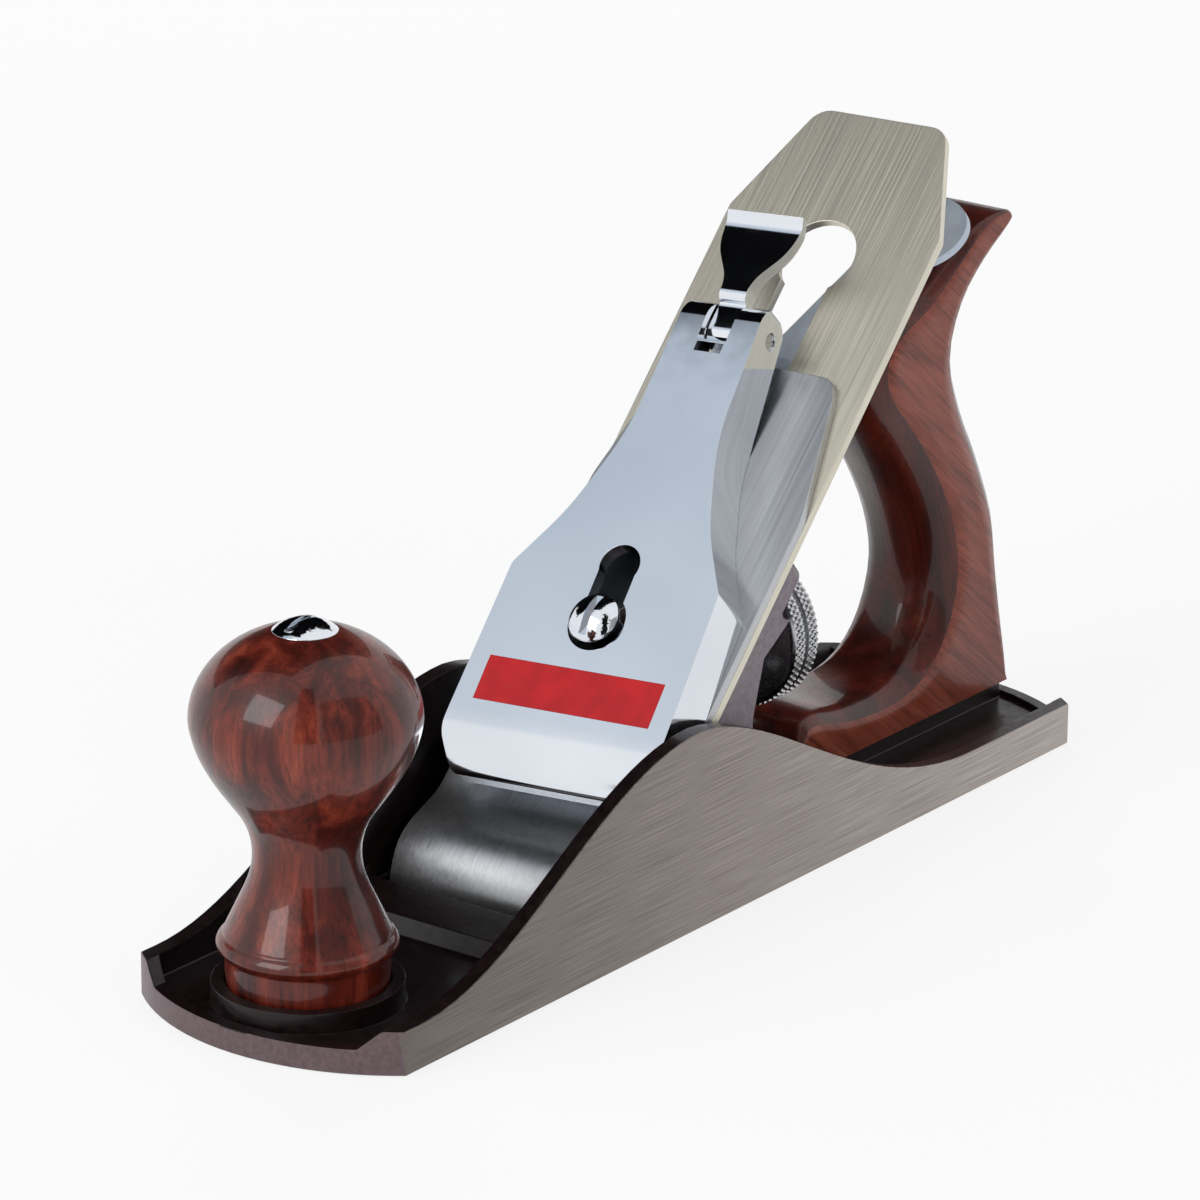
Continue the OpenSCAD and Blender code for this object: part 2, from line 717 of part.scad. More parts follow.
// Everything that is cut from the frog: recess over the lug, screw slots and bores
module frog_cuts() {
    low = seat_height + slide_gap;
    travel = frog_travel_front + frog_travel_back;
    // One flat face rests on the seat
    translate([edge_x - 30, -frog_width, low - 30])
        cube([sole_length, 2 * frog_width, 30]);
    // Recess over the body's tapped lug
    translate([lug_front_x - travel, -recess_width / 2, seat_height - 1])
        cube([frog_rear_x - lug_front_x + travel + 1, recess_width, lug_height + 2]);
    // Slots for the frog screws' shanks, and the ways down to their heads
    for (side = [-1, 1])
        translate([frog_screw_x, side * frog_screw_y, 0]) {
            for (x = [-frog_travel_back, frog_travel_front])
                translate([x, 0, seat_height - 1])
                    cylinder(d = frog_screw_d + 0.6, h = frog_foot_height + 3);
            translate([-frog_travel_back, -(frog_screw_d + 0.6) / 2, seat_height - 1])
                cube([travel, frog_screw_d + 0.6, frog_foot_height + 3]);
            for (x = [-frog_travel_back, frog_travel_front])
                translate([x, 0, low + frog_foot_height])
                    cylinder(d = washer_d + 0.8, h = 60);
            translate([-frog_travel_back, -(washer_d + 0.8) / 2, low + frog_foot_height])
                cube([travel, washer_d + 0.8, 60]);
        }
    // Bores for the clip's screw, the depth stud and the yoke's pin
    translate([frog_rear_x - 12, 0, clip_bolt_z])
        rotate([0, 90, 0])
            cylinder(d = clip_bolt_d + 2 * bore_gap, h = 20);
    translate([stud_root_x - 0.2, 0, stud_height])
        rotate([0, 90, 0])
            cylinder(d = stud_d + 2 * bore_gap, h = 40);
    translate([yoke_x, 0, yoke_z])
        rotate([90, 0, 0])
            cylinder(d = yoke_pin_d + 2 * bore_gap, h = frog_width, center = true);
    on_bed() {
        // The yoke swings in this space
        translate([yoke_at - 9, -ear_inner, frog_back_n - 12])
            cube([16, 2 * ear_inner, 15]);
        translate([cap_screw_at, 0, frog_back_n - 1])
            cylinder(d = cap_screw_d + 2 * bore_gap, h = frog_bed_thickness + 2);
        translate([rivet_at, 0, frog_back_n - 1])
            cylinder(d = lateral_rivet_d + 2 * bore_gap, h = frog_bed_thickness + 4);
    }
}

module frog_screws() {
    base = seat_height + slide_gap + frog_foot_height + slide_gap + washer_thickness;
    color("silver")
    for (side = [-1, 1])
        translate([frog_screw_x, side * frog_screw_y, 0]) {
            translate([0, 0, hole_floor + 0.3])
                cylinder(d = frog_screw_d, h = base - hole_floor - 0.3);
            translate([0, 0, base])
                difference() {
                    cylinder(d = frog_screw_head_d, h = 3.2);
                    translate([-frog_screw_head_d, -0.6, 2])
                        cube([2 * frog_screw_head_d, 1.2, 2]);
                }
        }
}

module frog_screw_washers() {
    color("silver")
    for (side = [-1, 1])
        translate([frog_screw_x, side * frog_screw_y, seat_height + frog_foot_height + 2 * slide_gap])
            difference() {
                cylinder(d = washer_d, h = washer_thickness);
                translate([0, 0, -1])
                    cylinder(d = frog_screw_d + 2 * bore_gap, h = washer_thickness + 2);
            }
}

module frog_adjusting_screw() {
    neck = clip_thickness + 2 * slide_gap;
    color("silver")
    translate([0, 0, adjuster_z])
        rotate([0, 90, 0]) {
            translate([0, 0, lug_front_x + 1])
                cylinder(d = adjuster_d, h = frog_rear_x + 0.6 - lug_front_x - 1);
            translate([0, 0, frog_rear_x])
                cylinder(d = adjuster_neck_d, h = neck + 1);
            translate([0, 0, frog_rear_x + 0.6 + neck])
                difference() {
                    cylinder(d = adjuster_head_d, h = adjuster_head_length);
                    translate([-0.6, -adjuster_head_d, adjuster_head_length - 1.4])
                        cube([1.2, 2 * adjuster_head_d, 2]);
                }
        }
}

// The clip hangs from the frog's rear face and holds the adjusting screw by its neck
module frog_clip() {
    top = clip_bolt_z + 5;
    low = seat_height + 1;
    fork = adjuster_neck_d + 2 * bore_gap;
    bend = 0.6 + slide_gap;
    color("slategray")
    difference() {
        union() {
            translate([frog_rear_x, -clip_width / 2, clip_bolt_z - 5])
                cube([clip_thickness, clip_width, top - clip_bolt_z + 5]);
            translate([frog_rear_x + bend, -clip_width / 2, low])
                cube([clip_thickness, clip_width, clip_bolt_z - 4 - low]);
        }
        translate([frog_rear_x - 1, 0, adjuster_z])
            rotate([0, 90, 0])
                cylinder(d = fork, h = 5);
        translate([frog_rear_x - 1, -fork / 2, low - 1])
            cube([5, fork, adjuster_z - low + 1]);
        translate([frog_rear_x - 1, 0, clip_bolt_z])
            rotate([0, 90, 0])
                cylinder(d = clip_bolt_d + 2 * bore_gap, h = 5);
    }
}

module frog_clip_screw() {
    color("silver")
    translate([frog_rear_x, 0, clip_bolt_z])
        rotate([0, 90, 0]) {
            translate([0, 0, -10])
                cylinder(d = clip_bolt_d, h = 10 + clip_thickness);
            translate([0, 0, clip_thickness])
                rotate(90)
                    slotted_dome(7, 2.2, 1);
        }
}

// Depth adjuster

module yoke() {
    color("slategray")
    difference() {
        union() {
            translate([yoke_x, 0, yoke_z])
                rotate([90, 0, 0])
                    cylinder(d = yoke_pin_d + 4.4, h = fork_width, center = true);
            on_bed()
                translate([yoke_at - 2.2, -3.75, -yoke_pin_depth])
                    cube([4.4, 7.5, nose_reach]);
            for (side = [-1, 1]) {
                translate([0, side * (fork_inner + fork_thickness / 2), 0])
                    across(fork_thickness)
                        bar([yoke_x, yoke_z], [fork_x, stud_height], 4.2);
                translate([fork_x, side * (groove_d / 2 + running_gap), stud_height])
                    rotate([-90 * side, 0, 0])
                        cylinder(d = fork_pin_d, h = fork_inner - groove_d / 2);
            }
        }
        translate([yoke_x, 0, yoke_z])
            rotate([90, 0, 0])
                cylinder(d = yoke_pin_d + 2 * bore_gap, h = fork_width + 2, center = true);
    }
}

module yoke_pin() {
    color("silver")
    translate([yoke_x, 0, yoke_z])
        rotate([90, 0, 0])
            cylinder(d = yoke_pin_d, h = 2 * (ear_inner + ear_thickness), center = true);
}

module depth_stud() {
    color("silver")
    translate([stud_root_x, 0, stud_height])
        rotate([0, 90, 0])
            cylinder(d = stud_d, h = stud_end_x - stud_root_x);
}

module depth_nut_collar() {
    flange = fork_x - groove_width / 2 - hub_front_x;
    color("goldenrod")
    translate([0, 0, stud_height])
        rotate([0, 90, 0])
            difference() {
                union() {
                    translate([0, 0, hub_front_x])
                        cylinder(d = hub_flange_d, h = flange);
                    translate([0, 0, hub_front_x])
                        cylinder(d = groove_d, h = wheel_x - slide_gap - hub_front_x);
                    translate([0, 0, fork_x + groove_width / 2])
                        cylinder(d = hub_d, h = wheel_x - slide_gap - fork_x - groove_width / 2);
                }
                translate([0, 0, hub_front_x - 1])
                    cylinder(d = stud_d + 2 * bore_gap, h = wheel_x - hub_front_x + 2);
            }
}

// The wheel has two knurled bands with a groove between them
module depth_nut() {
    color("silver")
    translate([wheel_x, 0, stud_height])
        rotate([0, 90, 0])
            difference() {
                union() {
                    linear_extrude(wheel_thickness)
                        polygon([for (i = [0:2 * knurl_count - 1]) let(
                            r = wheel_d / 2 - (i % 2) * knurl_depth,
                            a = 180 * i / knurl_count)
                            r * [cos(a), sin(a)]]);
                }
                translate([0, 0, (wheel_thickness - wheel_groove_width) / 2])
                    difference() {
                        cylinder(d = wheel_d + 2, h = wheel_groove_width);
                        translate([0, 0, -1])
                            cylinder(d = wheel_d - 2 * wheel_groove_depth, h = wheel_groove_width + 2,
                                $fn = 72);
                    }
                translate([0, 0, -1])
                    cylinder(d = stud_d + 2 * bore_gap, h = wheel_thickness + 2);
                translate([0, 0, wheel_thickness - 2])
                    difference() {
                        cylinder(d = wheel_d - 7, h = 3, $fn = 72);
                        translate([0, 0, -1])
                            cylinder(d = hub_d, h = 5);
                    }
            }
}

// Lateral lever

// Side view of the lateral lever: flat on the frog, then bent away from the bed
module lateral_side() {
    foot = roller_at - lever_end_r - 1;
    reach = lateral_arm + thumb_disc_d;
    x = bend_at + reach * cos(lateral_slope);
    n = lateral_top_n - reach * sin(lateral_slope);
    polygon([[foot, lateral_low_n],
        [bend_at - lateral_thickness * tan(lateral_slope / 2), lateral_low_n],
        [x - lateral_thickness * sin(lateral_slope), n - lateral_thickness * cos(lateral_slope)],
        [x, n], [bend_at, lateral_top_n], [foot, lateral_top_n]]);
}

// Plan of the lateral lever, with its round thumb disc
module lateral_plan() {
    disc_at = bend_at + lateral_arm * cos(lateral_slope);
    translate([roller_at, 0])
        circle(r = lever_end_r);
    translate([rivet_at, 0])
        circle(d = lateral_width + 2);
    translate([roller_at, -lateral_width / 2])
        square([disc_at - roller_at, lateral_width]);
    translate([disc_at, 0])
        circle(d = thumb_disc_d, $fn = 72);
}

module lateral_lever() {
    color("lightsteelblue")
    on_lateral_lever()
        difference() {
            intersection() {
                across(thumb_disc_d + 2)
                    lateral_side();
                translate([0, 0, -60])
                    linear_extrude(60)
                        lateral_plan();
            }
            for (bore = [[roller_at, roller_pin_d], [rivet_at, lateral_rivet_d]])
                translate([bore[0], 0, lateral_low_n - 1])
                    cylinder(d = bore[1] + 2 * bore_gap, h = lateral_thickness + 2);
        }
}

module lateral_lever_rivet() {
    color("silver")
    on_bed()
        translate([rivet_at, 0, 0]) {
            translate([0, 0, frog_back_n - 0.6])
                cylinder(d = lateral_rivet_d, h = lateral_top_n + slide_gap - frog_back_n + 0.6);
            translate([0, 0, lateral_top_n + slide_gap])
                cylinder(d = lateral_rivet_d + 3.6, h = 0.5);
        }
}

module lateral_roller() {
    color("silver")
    on_lateral_lever()
        translate([roller_at, 0, lateral_top_n + slide_gap])
            difference() {
                cylinder(d = roller_d, h = -0.3 - lateral_top_n - slide_gap);
                translate([0, 0, -1])
                    cylinder(d = roller_pin_d + 2 * bore_gap, h = 5);
            }
}

module roller_rivet() {
    color("gray")
    on_lateral_lever()
        translate([roller_at, 0, lateral_low_n])
            cylinder(d = roller_pin_d, h = -0.3 - lateral_low_n);
}

// Irons

module cutter() {
    half = iron_width / 2;
    start = edge_lift / sin(bed_angle);
    end = start + cutter_length;
    color("tan")
    on_irons()
        difference() {
            intersection() {
                across(iron_width)
                    polygon([[start, 0], [end, 0], [end, -cutter_thickness],
                        [start + cutter_thickness / tan(bevel_angle), -cutter_thickness]]);
                translate([0, 0, -cutter_thickness - 1])
                    linear_extrude(cutter_thickness + 2)
                        polygon(rounded(both_sides([[start, half, 0], [end - cutter_clip_length, half, 2],
                            [end, cutter_top_width / 2, 5]])));
            }
            slot_cut(slot_start + slot_width / 2, keyhole_at, slot_width, -cutter_thickness - 1, 1);
            translate([keyhole_at, 0, -cutter_thickness - 1])
                cylinder(d = keyhole_d, h = cutter_thickness + 2);
        }
}

// Height of the cap iron's underside over the cutter, along the bed
function hump_under(s) = s < hump_crest
    ? hump_rise * sin(90 * (s - cap_iron_start) / (hump_crest - cap_iron_start))
    : s < hump_end ? hump_rise * ease((hump_end - s) / (hump_end - hump_crest)) : 0;
cap_iron_start = edge_lift / sin(bed_angle) + lip_setback;

module cap_iron_profile() {
    steps = 14;
    low = [for (i = [0:steps]) cap_iron_start + (hump_end - cap_iron_start) * i / steps];
    polygon(concat(
        [for (s = low) [s, hump_under(s)]],
        [[cap_iron_top, 0], [cap_iron_top, cap_iron_thickness]],
        [for (i = [steps:-1:1]) [low[i], hump_under(low[i]) + cap_iron_thickness]],
        [[cap_iron_start - 0.5, 1], [cap_iron_start - 0.3, 0]]));
}

module cap_iron() {
    half = iron_width / 2;
    top = cap_iron_top_width / 2;
    color("silver")
    on_irons()
        difference() {
            intersection() {
                across(iron_width)
                    cap_iron_profile();
                linear_extrude(30)
                    polygon(rounded(both_sides([[cap_iron_start - 2, half, 0],
                        [cap_iron_top - cap_iron_taper, half, 24],
                        [cap_iron_top - 4, top + 2.4, 14], [cap_iron_top, top, 4]])));
            }
            slot_cut(cap_screw_at - 3, cap_screw_at + 5, slot_width, -1, 8);
            translate([yoke_at - 3, -4.6, -1])
                cube([6, 9.2, 4]);
            translate([iron_screw_at, 0, -1])
                cylinder(d = iron_screw_d + 2 * bore_gap, h = 4);
        }
}

module cap_iron_screw() {
    color("silver")
    on_irons()
        translate([iron_screw_at, 0, 0]) {
            translate([0, 0, -cutter_thickness])
                cylinder(d = iron_screw_d, h = cutter_thickness + cap_iron_thickness);
            translate([0, 0, -cutter_thickness - iron_screw_head_height])
                difference() {
                    cylinder(d = iron_screw_head_d, h = iron_screw_head_height);
                    translate([-10, -0.9, -1])
                        cube([20, 1.8, 2.6]);
                }
        }
}

// Lever cap

// Corners of the lever cap from its lower edge to its top, for one side
function lever_cap_outline(inset) = let(
    half = lever_cap_width / 2 - inset,
    top = lever_cap_top_width / 2 - inset)
    both_sides([[lever_cap_start + inset, half - 5, 3], [lever_cap_start + 8, half, 8],
        [lever_cap_shoulder, half - 1, 3], [lever_cap_shoulder + 13, half - 8.6, 50],
        [lever_cap_neck, top + 1, 50], [lever_cap_end - inset, top, 2]]);

// Side view of the lever cap: its face above, its walls' lower edges below
module lever_cap_side() {
    s0 = lever_cap_start;
    s1 = lever_cap_end;
    face = lever_face_n(s1);
    bend = lever_cap_bend;
    nose = 13;
    polygon(concat(
        [[s0, lip_under], [s0 + 2, lip_under], [s0 + 16, wall_under], [lever_cap_neck + 4, wall_under],
            [s1 - 3, face - lever_cap_depth], [s1, face - lever_cap_depth + 3]],
        [for (a = [0:15:90]) [s1 - bend + bend * cos(a), lever_face_n(s1 - bend) - bend + bend * sin(a)]],
        [for (i = [0:12]) let(u = sin(90 * i / 12))
            [s0 + nose * (1 - u), lever_face_n(s0 + nose * (1 - u)) - lever_cap_drop * (1 - sqrt(1 - u * u))]]));
}

module kidney(low, high) {
    slot_cut(kidney_at, kidney_at + lobe_distance, small_lobe_d - 0.6, low, high);
    translate([kidney_at, 0, low])
        cylinder(d = large_lobe_d, h = high - low);
    translate([kidney_at + lobe_distance, 0, low])
        cylinder(d = small_lobe_d, h = high - low);
}

module lever_cap() {
    notch = cam_neck_width + 2 * running_gap;
    color("lightsteelblue")
    on_lever_cap()
        difference() {
            union() {
                difference() {
                    intersection() {
                        across(lever_cap_width)
                            lever_cap_side();
                        linear_extrude(40)
                            polygon(rounded(lever_cap_outline(0)));
                    }
                    // The hollow underside
                    intersection() {
                        linear_extrude(40)
                            polygon(rounded(lever_cap_outline(lever_cap_wall)));
                        across(lever_cap_width)
                            polygon([[lever_cap_start + 12, -1],
                                [lever_cap_start + 12, lever_face_n(lever_cap_start + 12) - lever_cap_face],
                                [lever_cap_end + 1, lever_face_n(lever_cap_end + 1) - lever_cap_face],
                                [lever_cap_end + 1, -1]]);
                    }
                }
                // Boss that carries the spring
                translate([spring_rivet_at, 0, spring_seat_n + spring_thickness + slide_gap])
                    cylinder(d = 8, h = lever_face_n(spring_rivet_at) - spring_seat_n - 2.4);
            }
            kidney(0, 30);
            // Notch for the cam lever's neck
            translate([cam_pin_at - cam_hub_d / 2 - running_gap, -notch / 2, 0])
                cube([20, notch, 30]);
            translate([cam_pin_at, 0, cam_pin_n])
                rotate([90, 0, 0])
                    cylinder(d = cam_pin_d + 2 * bore_gap, h = 40, center = true);
            translate([spring_rivet_at, 0, 0])
                cylinder(d = spring_rivet_d + 2 * bore_gap, h = spring_seat_n + 4);
            // Recess for the enamel panel
            on_lever_face()
                translate([panel_at - lever_cap_start, 0, 0])
                    cube([panel_height, panel_width, 2 * panel_depth], center = true);
        }
}

module lever_cap_panel() {
    color("firebrick")
    on_lever_cap()
        on_lever_face()
            translate([panel_at - lever_cap_start, 0, -panel_depth / 2])
                cube([panel_height, panel_width, panel_depth], center = true);
}

// The cam lever lies along the irons when it is closed
module cam_lever_side() {
    s = cam_pin_at;
    n = cam_pin_n;
    tip = s + cam_lever_length;
    polygon([[s, n - 0.6], [s + 9, n + 0.6], [s + 12.6, n + 2.6], [tip - 5, n + 2.1],
        [tip - 1.6, n + 2.5], [tip, n + 3.3], [tip - 0.4, n + 5.4], [tip - 3, n + 4.7],
        [tip - 6, n + 4.5], [s + 12.2, n + 5.2], [s + 8.6, n + 3.9], [s, n + 3.4]]);
}

module cam_lever() {
    tip = cam_pin_at + cam_lever_length;
    drop = cam_pin_n - cam_bottom - cam_hub_d / 2;
    color("silver")
    on_lever_cap()
        difference() {
            union() {
                across(cam_neck_width)
                    bar([cam_pin_at, cam_pin_n], [cam_pin_at, cam_pin_n - drop], cam_hub_d);
                intersection() {
                    across(cam_lever_width)
                        cam_lever_side();
                    linear_extrude(40)
                        polygon(rounded(both_sides([[cam_pin_at, cam_neck_width / 2, 0],
                            [cam_pin_at + 11, cam_neck_width / 2, 9],
                            [tip - 6, cam_lever_width / 2 - 0.6, 5], [tip, cam_lever_width / 2, 0.6]])));
                }
            }
            translate([cam_pin_at, 0, cam_pin_n])
                rotate([90, 0, 0])
                    cylinder(d = cam_pin_d + 2 * bore_gap, h = 40, center = true);
        }
}

module cam_pin() {
    color("silver")
    on_lever_cap()
        translate([cam_pin_at, 0, cam_pin_n])
            rotate([90, 0, 0])
                cylinder(d = cam_pin_d, h = lever_cap_top_width - 0.4, center = true);
}

// A leaf spring between the cam and the cap iron
module lever_cap_spring() {
    high = spring_seat_n;
    t = spring_thickness;
    color("slategray")
    on_lever_cap()
        difference() {
            across(spring_width)
                polygon([[spring_rivet_at - 6, high], [spring_rivet_at + 6, high],
                    [spring_rivet_at + 16, spring_n], [cam_pin_at + 3, spring_n],
                    [cam_pin_at + 3, spring_n + t], [spring_rivet_at + 16.2, spring_n + t],
                    [spring_rivet_at + 6.2, high + t], [spring_rivet_at - 6, high + t]]);
            translate([spring_rivet_at, 0, 0])
                cylinder(d = spring_rivet_d + 2 * bore_gap, h = 20);
        }
}

module spring_rivet() {
    color("silver")
    on_lever_cap()
        translate([spring_rivet_at, 0, 0]) {
            translate([0, 0, spring_seat_n])
                cylinder(d = spring_rivet_d, h = 3.6);
            translate([0, 0, spring_seat_n - 1])
                cylinder(d = 5.6, h = 1);
        }
}

module lever_cap_screw() {
    color("silver")
    on_irons()
        translate([cap_screw_at, 0, 0]) {
            translate([0, 0, frog_back_n])
                cylinder(d = cap_screw_d, h = head_n - frog_back_n);
            translate([0, 0, head_n])
                cylinder(d = cap_screw_head_d, h = 1);
            translate([0, 0, head_n + 1])
                slotted_dome(cap_screw_head_d, head_height, 1.6);
        }
}

// Knob

// Radius of the knob at a height above its boss
function knob_radius(z) = z >= knob_ball_height
    ? knob_d / 2 * sqrt(1 - pow((z - knob_ball_height) / knob_crown, 2))
    : z >= knob_neck_height
        ? let(t = (knob_ball_height - z) / (knob_ball_height - knob_neck_height))
            knob_neck_d / 2 + (knob_d - knob_neck_d) / 2 * (1 - ease(pow(t, 1.2)))
        : let(t = (knob_neck_height - z) / (knob_neck_height - knob_bead_height - 2.2))
            knob_neck_d / 2 + (knob_bead_d - 2.2 - knob_neck_d) / 2 * (1 - cos(90 * t));

module knob() {
    bead = knob_bead_d / 2;
    cove = knob_bead_height + 2.2;
    steps = 44;
    color("saddlebrown")
    translate([knob_x, 0, knob_z + slide_gap])
        difference() {
            rotate_extrude($fn = 96)
                polygon(concat(
                    [[0, 0], [knob_foot_d / 2, 0], [knob_foot_d / 2 + 0.6, 3],
                        [knob_foot_d / 2 + 0.6, knob_bead_height - 2.2]],
                    [for (i = [0:6]) let(a = -60 + 150 * i / 6)
                        [bead - 1.4 + 1.4 * cos(a), knob_bead_height + 1.6 * sin(a)]],
                    [for (i = [0:steps]) let(z = cove + (knob_height - cove) * i / steps)
                        [knob_radius(z), z]],
                    [[0, knob_height]]));
            translate([0, 0, -1])
                cylinder(d = long_bolt_d + 0.8, h = knob_height + 2);
            translate([0, 0, knob_height - dome_nut_neck_length - 1])
                cylinder(d = dome_nut_neck_d + 0.6, h = dome_nut_neck_length + 2);
        }
}

module knob_bolt() {
    color("silver")
    translate([knob_x, 0, hole_floor + 0.3])
        cylinder(d = long_bolt_d, h = knob_z + knob_height - 4);
}

module dome_nut() {
    translate([0, 0, slide_gap])
        slotted_dome(dome_nut_d, dome_nut_height, 1.6);
    difference() {
        translate([0, 0, -dome_nut_neck_length])
            cylinder(d = dome_nut_neck_d, h = dome_nut_neck_length + 0.5);
        translate([0, 0, -dome_nut_neck_length - 1])
            cylinder(d = long_bolt_d + 2 * bore_gap, h = dome_nut_neck_length);
    }
}

module knob_nut() {
    color("silver")
    translate([knob_x, 0, knob_z + slide_gap + knob_height])
        dome_nut();
}

// Tote

// The tote's outline from its rear foot over the horn to its toe: distance in front of its rear
// end, height over its pads, and how far its edges are rounded there
TOTE_CURVE = [
    [0.6, 0, 0.6], [0, 6, 3], [0.2, 16, 6], [0.8, 26, 8], [2.6, 39, 9], [9, 53.5, 9.5],
    [15.2, 64.5, 9.5], [19.4, 76, 9], [17.6, 86, 6.5], [12, 94.2, 3.2], [5.2, 100, 1.2],
    [3.6, 102.4, 0.7], [6.5, 104.2, 1.2], [14.5, 103.2, 2.8], [23.5, 98.8, 5], [34.5, 93, 7],
    [44.5, 89, 7], [51, 83.5, 7.5], [52.4, 76, 8], [49, 68, 9], [41.5, 59, 10], [34, 49.5, 10],
    [28, 39, 10], [25.6, 29, 10], [28, 19.6, 9], [34.5, 13, 8], [44.5, 10.4, 7],
    [58.5, 10.8, 6], [68.5, 12.5, 5], [75, 11.5, 4], [77.4, 6.5, 3], [77.1, 0, 0.6]];
function tote_front_x() = tote_end_x - 77.4;

tote_line = curve(TOTE_CURVE, 3);
tote_rings = 9;

// The outline's normal at a point, in the drawing of distance and height
function tote_normal(i) = let(
    a = tote_line[max(i - 1, 0)],
    b = tote_line[min(i + 1, len(tote_line) - 1)],
    t = unit([b[0] - a[0], b[1] - a[1]]))
    [t[1], -t[0]];

// One ring of the tote's surface: k runs from the near flat side to the far one
function tote_ring(k) = let(q = -90 + 180 * k / (tote_rings - 1))
    [for (i = [0:len(tote_line) - 1]) let(
        r = tote_line[i][2],
        end = i == 0 || i == len(tote_line) - 1,
        n = end ? [0, 0] : tote_normal(i),
        inset = r * (1 - cos(q)))
        [tote_end_x - tote_line[i][0] - n[0] * inset,
            (tote_thickness / 2 - r) * sign(q) + r * sin(q),
            tote_z + slide_gap + max(tote_line[i][1] + n[1] * inset, 0)]];

// Triangles across the flat side, between point i on the rear and point j on the front: the
// shorter way across comes first
function tote_gap(i, j) = norm([tote_line[i][0] - tote_line[j][0], tote_line[i][1] - tote_line[j][1]]);
function tote_side(i, j) = j - i < 2 ? [] : tote_gap(i + 1, j) < tote_gap(i, j - 1)
    ? concat([[i, i + 1, j]], tote_side(i + 1, j))
    : concat([[i, j - 1, j]], tote_side(i, j - 1));

module tote_solid() {
    m = len(tote_line);
    points = [for (k = [0:tote_rings - 1]) each tote_ring(k)];
    side = tote_side(0, m - 1);
    far = (tote_rings - 1) * m;
    polyhedron(points, concat(
        side,
        [for (t = side) [far + t[2], far + t[1], far + t[0]]],
        [for (k = [0:tote_rings - 2]) for (i = [0:m - 1]) let(j = (i + 1) % m)
            each [[k * m + i, (k + 1) * m + i, k * m + j],
                [k * m + j, (k + 1) * m + i, (k + 1) * m + j]]]));
}

module at_tote_bolt() {
    translate([tote_bolt_x, 0, tote_z])
        rotate([0, -tote_bolt_slope, 0])
            children();
}

module tote() {
    color("saddlebrown")
    difference() {
        tote_solid();
        at_tote_bolt() {
            translate([0, 0, -10])
                cylinder(d = long_bolt_d + 0.8, h = tote_bolt_reach + 20);
            translate([0, 0, tote_bolt_reach - dome_nut_neck_length - 1])
                cylinder(d = dome_nut_neck_d + 0.6, h = 40);
            translate([0, 0, tote_bolt_reach - slide_gap])
                cylinder(d = dome_nut_d + 0.8, h = 20);
        }
    }
}

module tote_bolt() {
    color("silver")
    at_tote_bolt()
        translate([0, 0, tote_thread_end])
            cylinder(d = long_bolt_d, h = tote_bolt_reach - 3 - tote_thread_end);
}

module tote_nut() {
    color("silver")
    at_tote_bolt()
        translate([0, 0, tote_bolt_reach])
            dome_nut();
}

body();
frog();
frog_screws();
frog_screw_washers();
frog_adjusting_screw();
frog_clip();
frog_clip_screw();
yoke();
yoke_pin();
depth_stud();
depth_nut_collar();
depth_nut();
lateral_lever();
lateral_lever_rivet();
lateral_roller();
roller_rivet();
cutter();
cap_iron();
cap_iron_screw();
lever_cap();
lever_cap_panel();
cam_lever();
cam_pin();
lever_cap_spring();
spring_rivet();
lever_cap_screw();
knob();
knob_bolt();
knob_nut();
tote();
tote_bolt();
tote_nut();
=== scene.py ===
import json
import math

import bpy
from mathutils import Matrix, Vector


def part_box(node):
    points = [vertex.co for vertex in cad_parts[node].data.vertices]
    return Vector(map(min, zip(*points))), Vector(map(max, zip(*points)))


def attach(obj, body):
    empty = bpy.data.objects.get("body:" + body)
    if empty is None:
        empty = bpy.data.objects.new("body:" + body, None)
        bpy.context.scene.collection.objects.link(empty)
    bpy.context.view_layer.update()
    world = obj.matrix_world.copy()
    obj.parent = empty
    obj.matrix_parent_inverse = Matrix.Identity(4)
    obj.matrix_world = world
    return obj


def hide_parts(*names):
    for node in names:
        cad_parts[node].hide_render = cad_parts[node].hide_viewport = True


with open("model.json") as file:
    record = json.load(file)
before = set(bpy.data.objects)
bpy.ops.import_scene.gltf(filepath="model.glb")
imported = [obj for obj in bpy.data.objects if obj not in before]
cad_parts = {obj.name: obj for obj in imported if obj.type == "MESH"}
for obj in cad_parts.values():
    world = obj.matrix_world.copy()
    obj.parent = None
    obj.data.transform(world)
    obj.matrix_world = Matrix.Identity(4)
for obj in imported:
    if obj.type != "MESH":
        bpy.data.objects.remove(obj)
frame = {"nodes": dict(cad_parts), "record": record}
bpy.ops.object.select_all(action="DESELECT")
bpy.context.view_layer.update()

# Lengths here are in millimetres unless a comment says metres. MM turns them to Blender's
# metres, and METRE over a pattern's size gives the scale of its texture.
MM = 0.001
METRE = 1000

# The body casting's ends and half its width
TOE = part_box("body")[0].x / MM
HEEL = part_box("body")[1].x / MM
HALF_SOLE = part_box("body")[1].y / MM

# The bed under the irons: its face, carried on, meets the sole's plane at EDGE_X, and the
# lever-cap screw stands SCREW_UP from there
BED_ANGLE = math.radians(45)
BED_UP = Vector((math.cos(BED_ANGLE), 0, math.sin(BED_ANGLE)))
BED_OUT = Vector((-math.sin(BED_ANGLE), 0, math.cos(BED_ANGLE)))
EDGE_X = TOE + 76.5
SCREW_UP = 62.4

# The released lever cap is swung about its screw, by the irons' skew and its own, in degrees
IRON_SKEW = 1.2
CAP_SKEW = 3.0
CAP_SWING = math.radians(IRON_SKEW + CAP_SKEW)
CAP_UP = BED_UP * math.cos(CAP_SWING) + Vector((0, math.sin(CAP_SWING), 0))
CAP_ACROSS = Vector((0, math.cos(CAP_SWING), 0)) - BED_UP * math.sin(CAP_SWING)

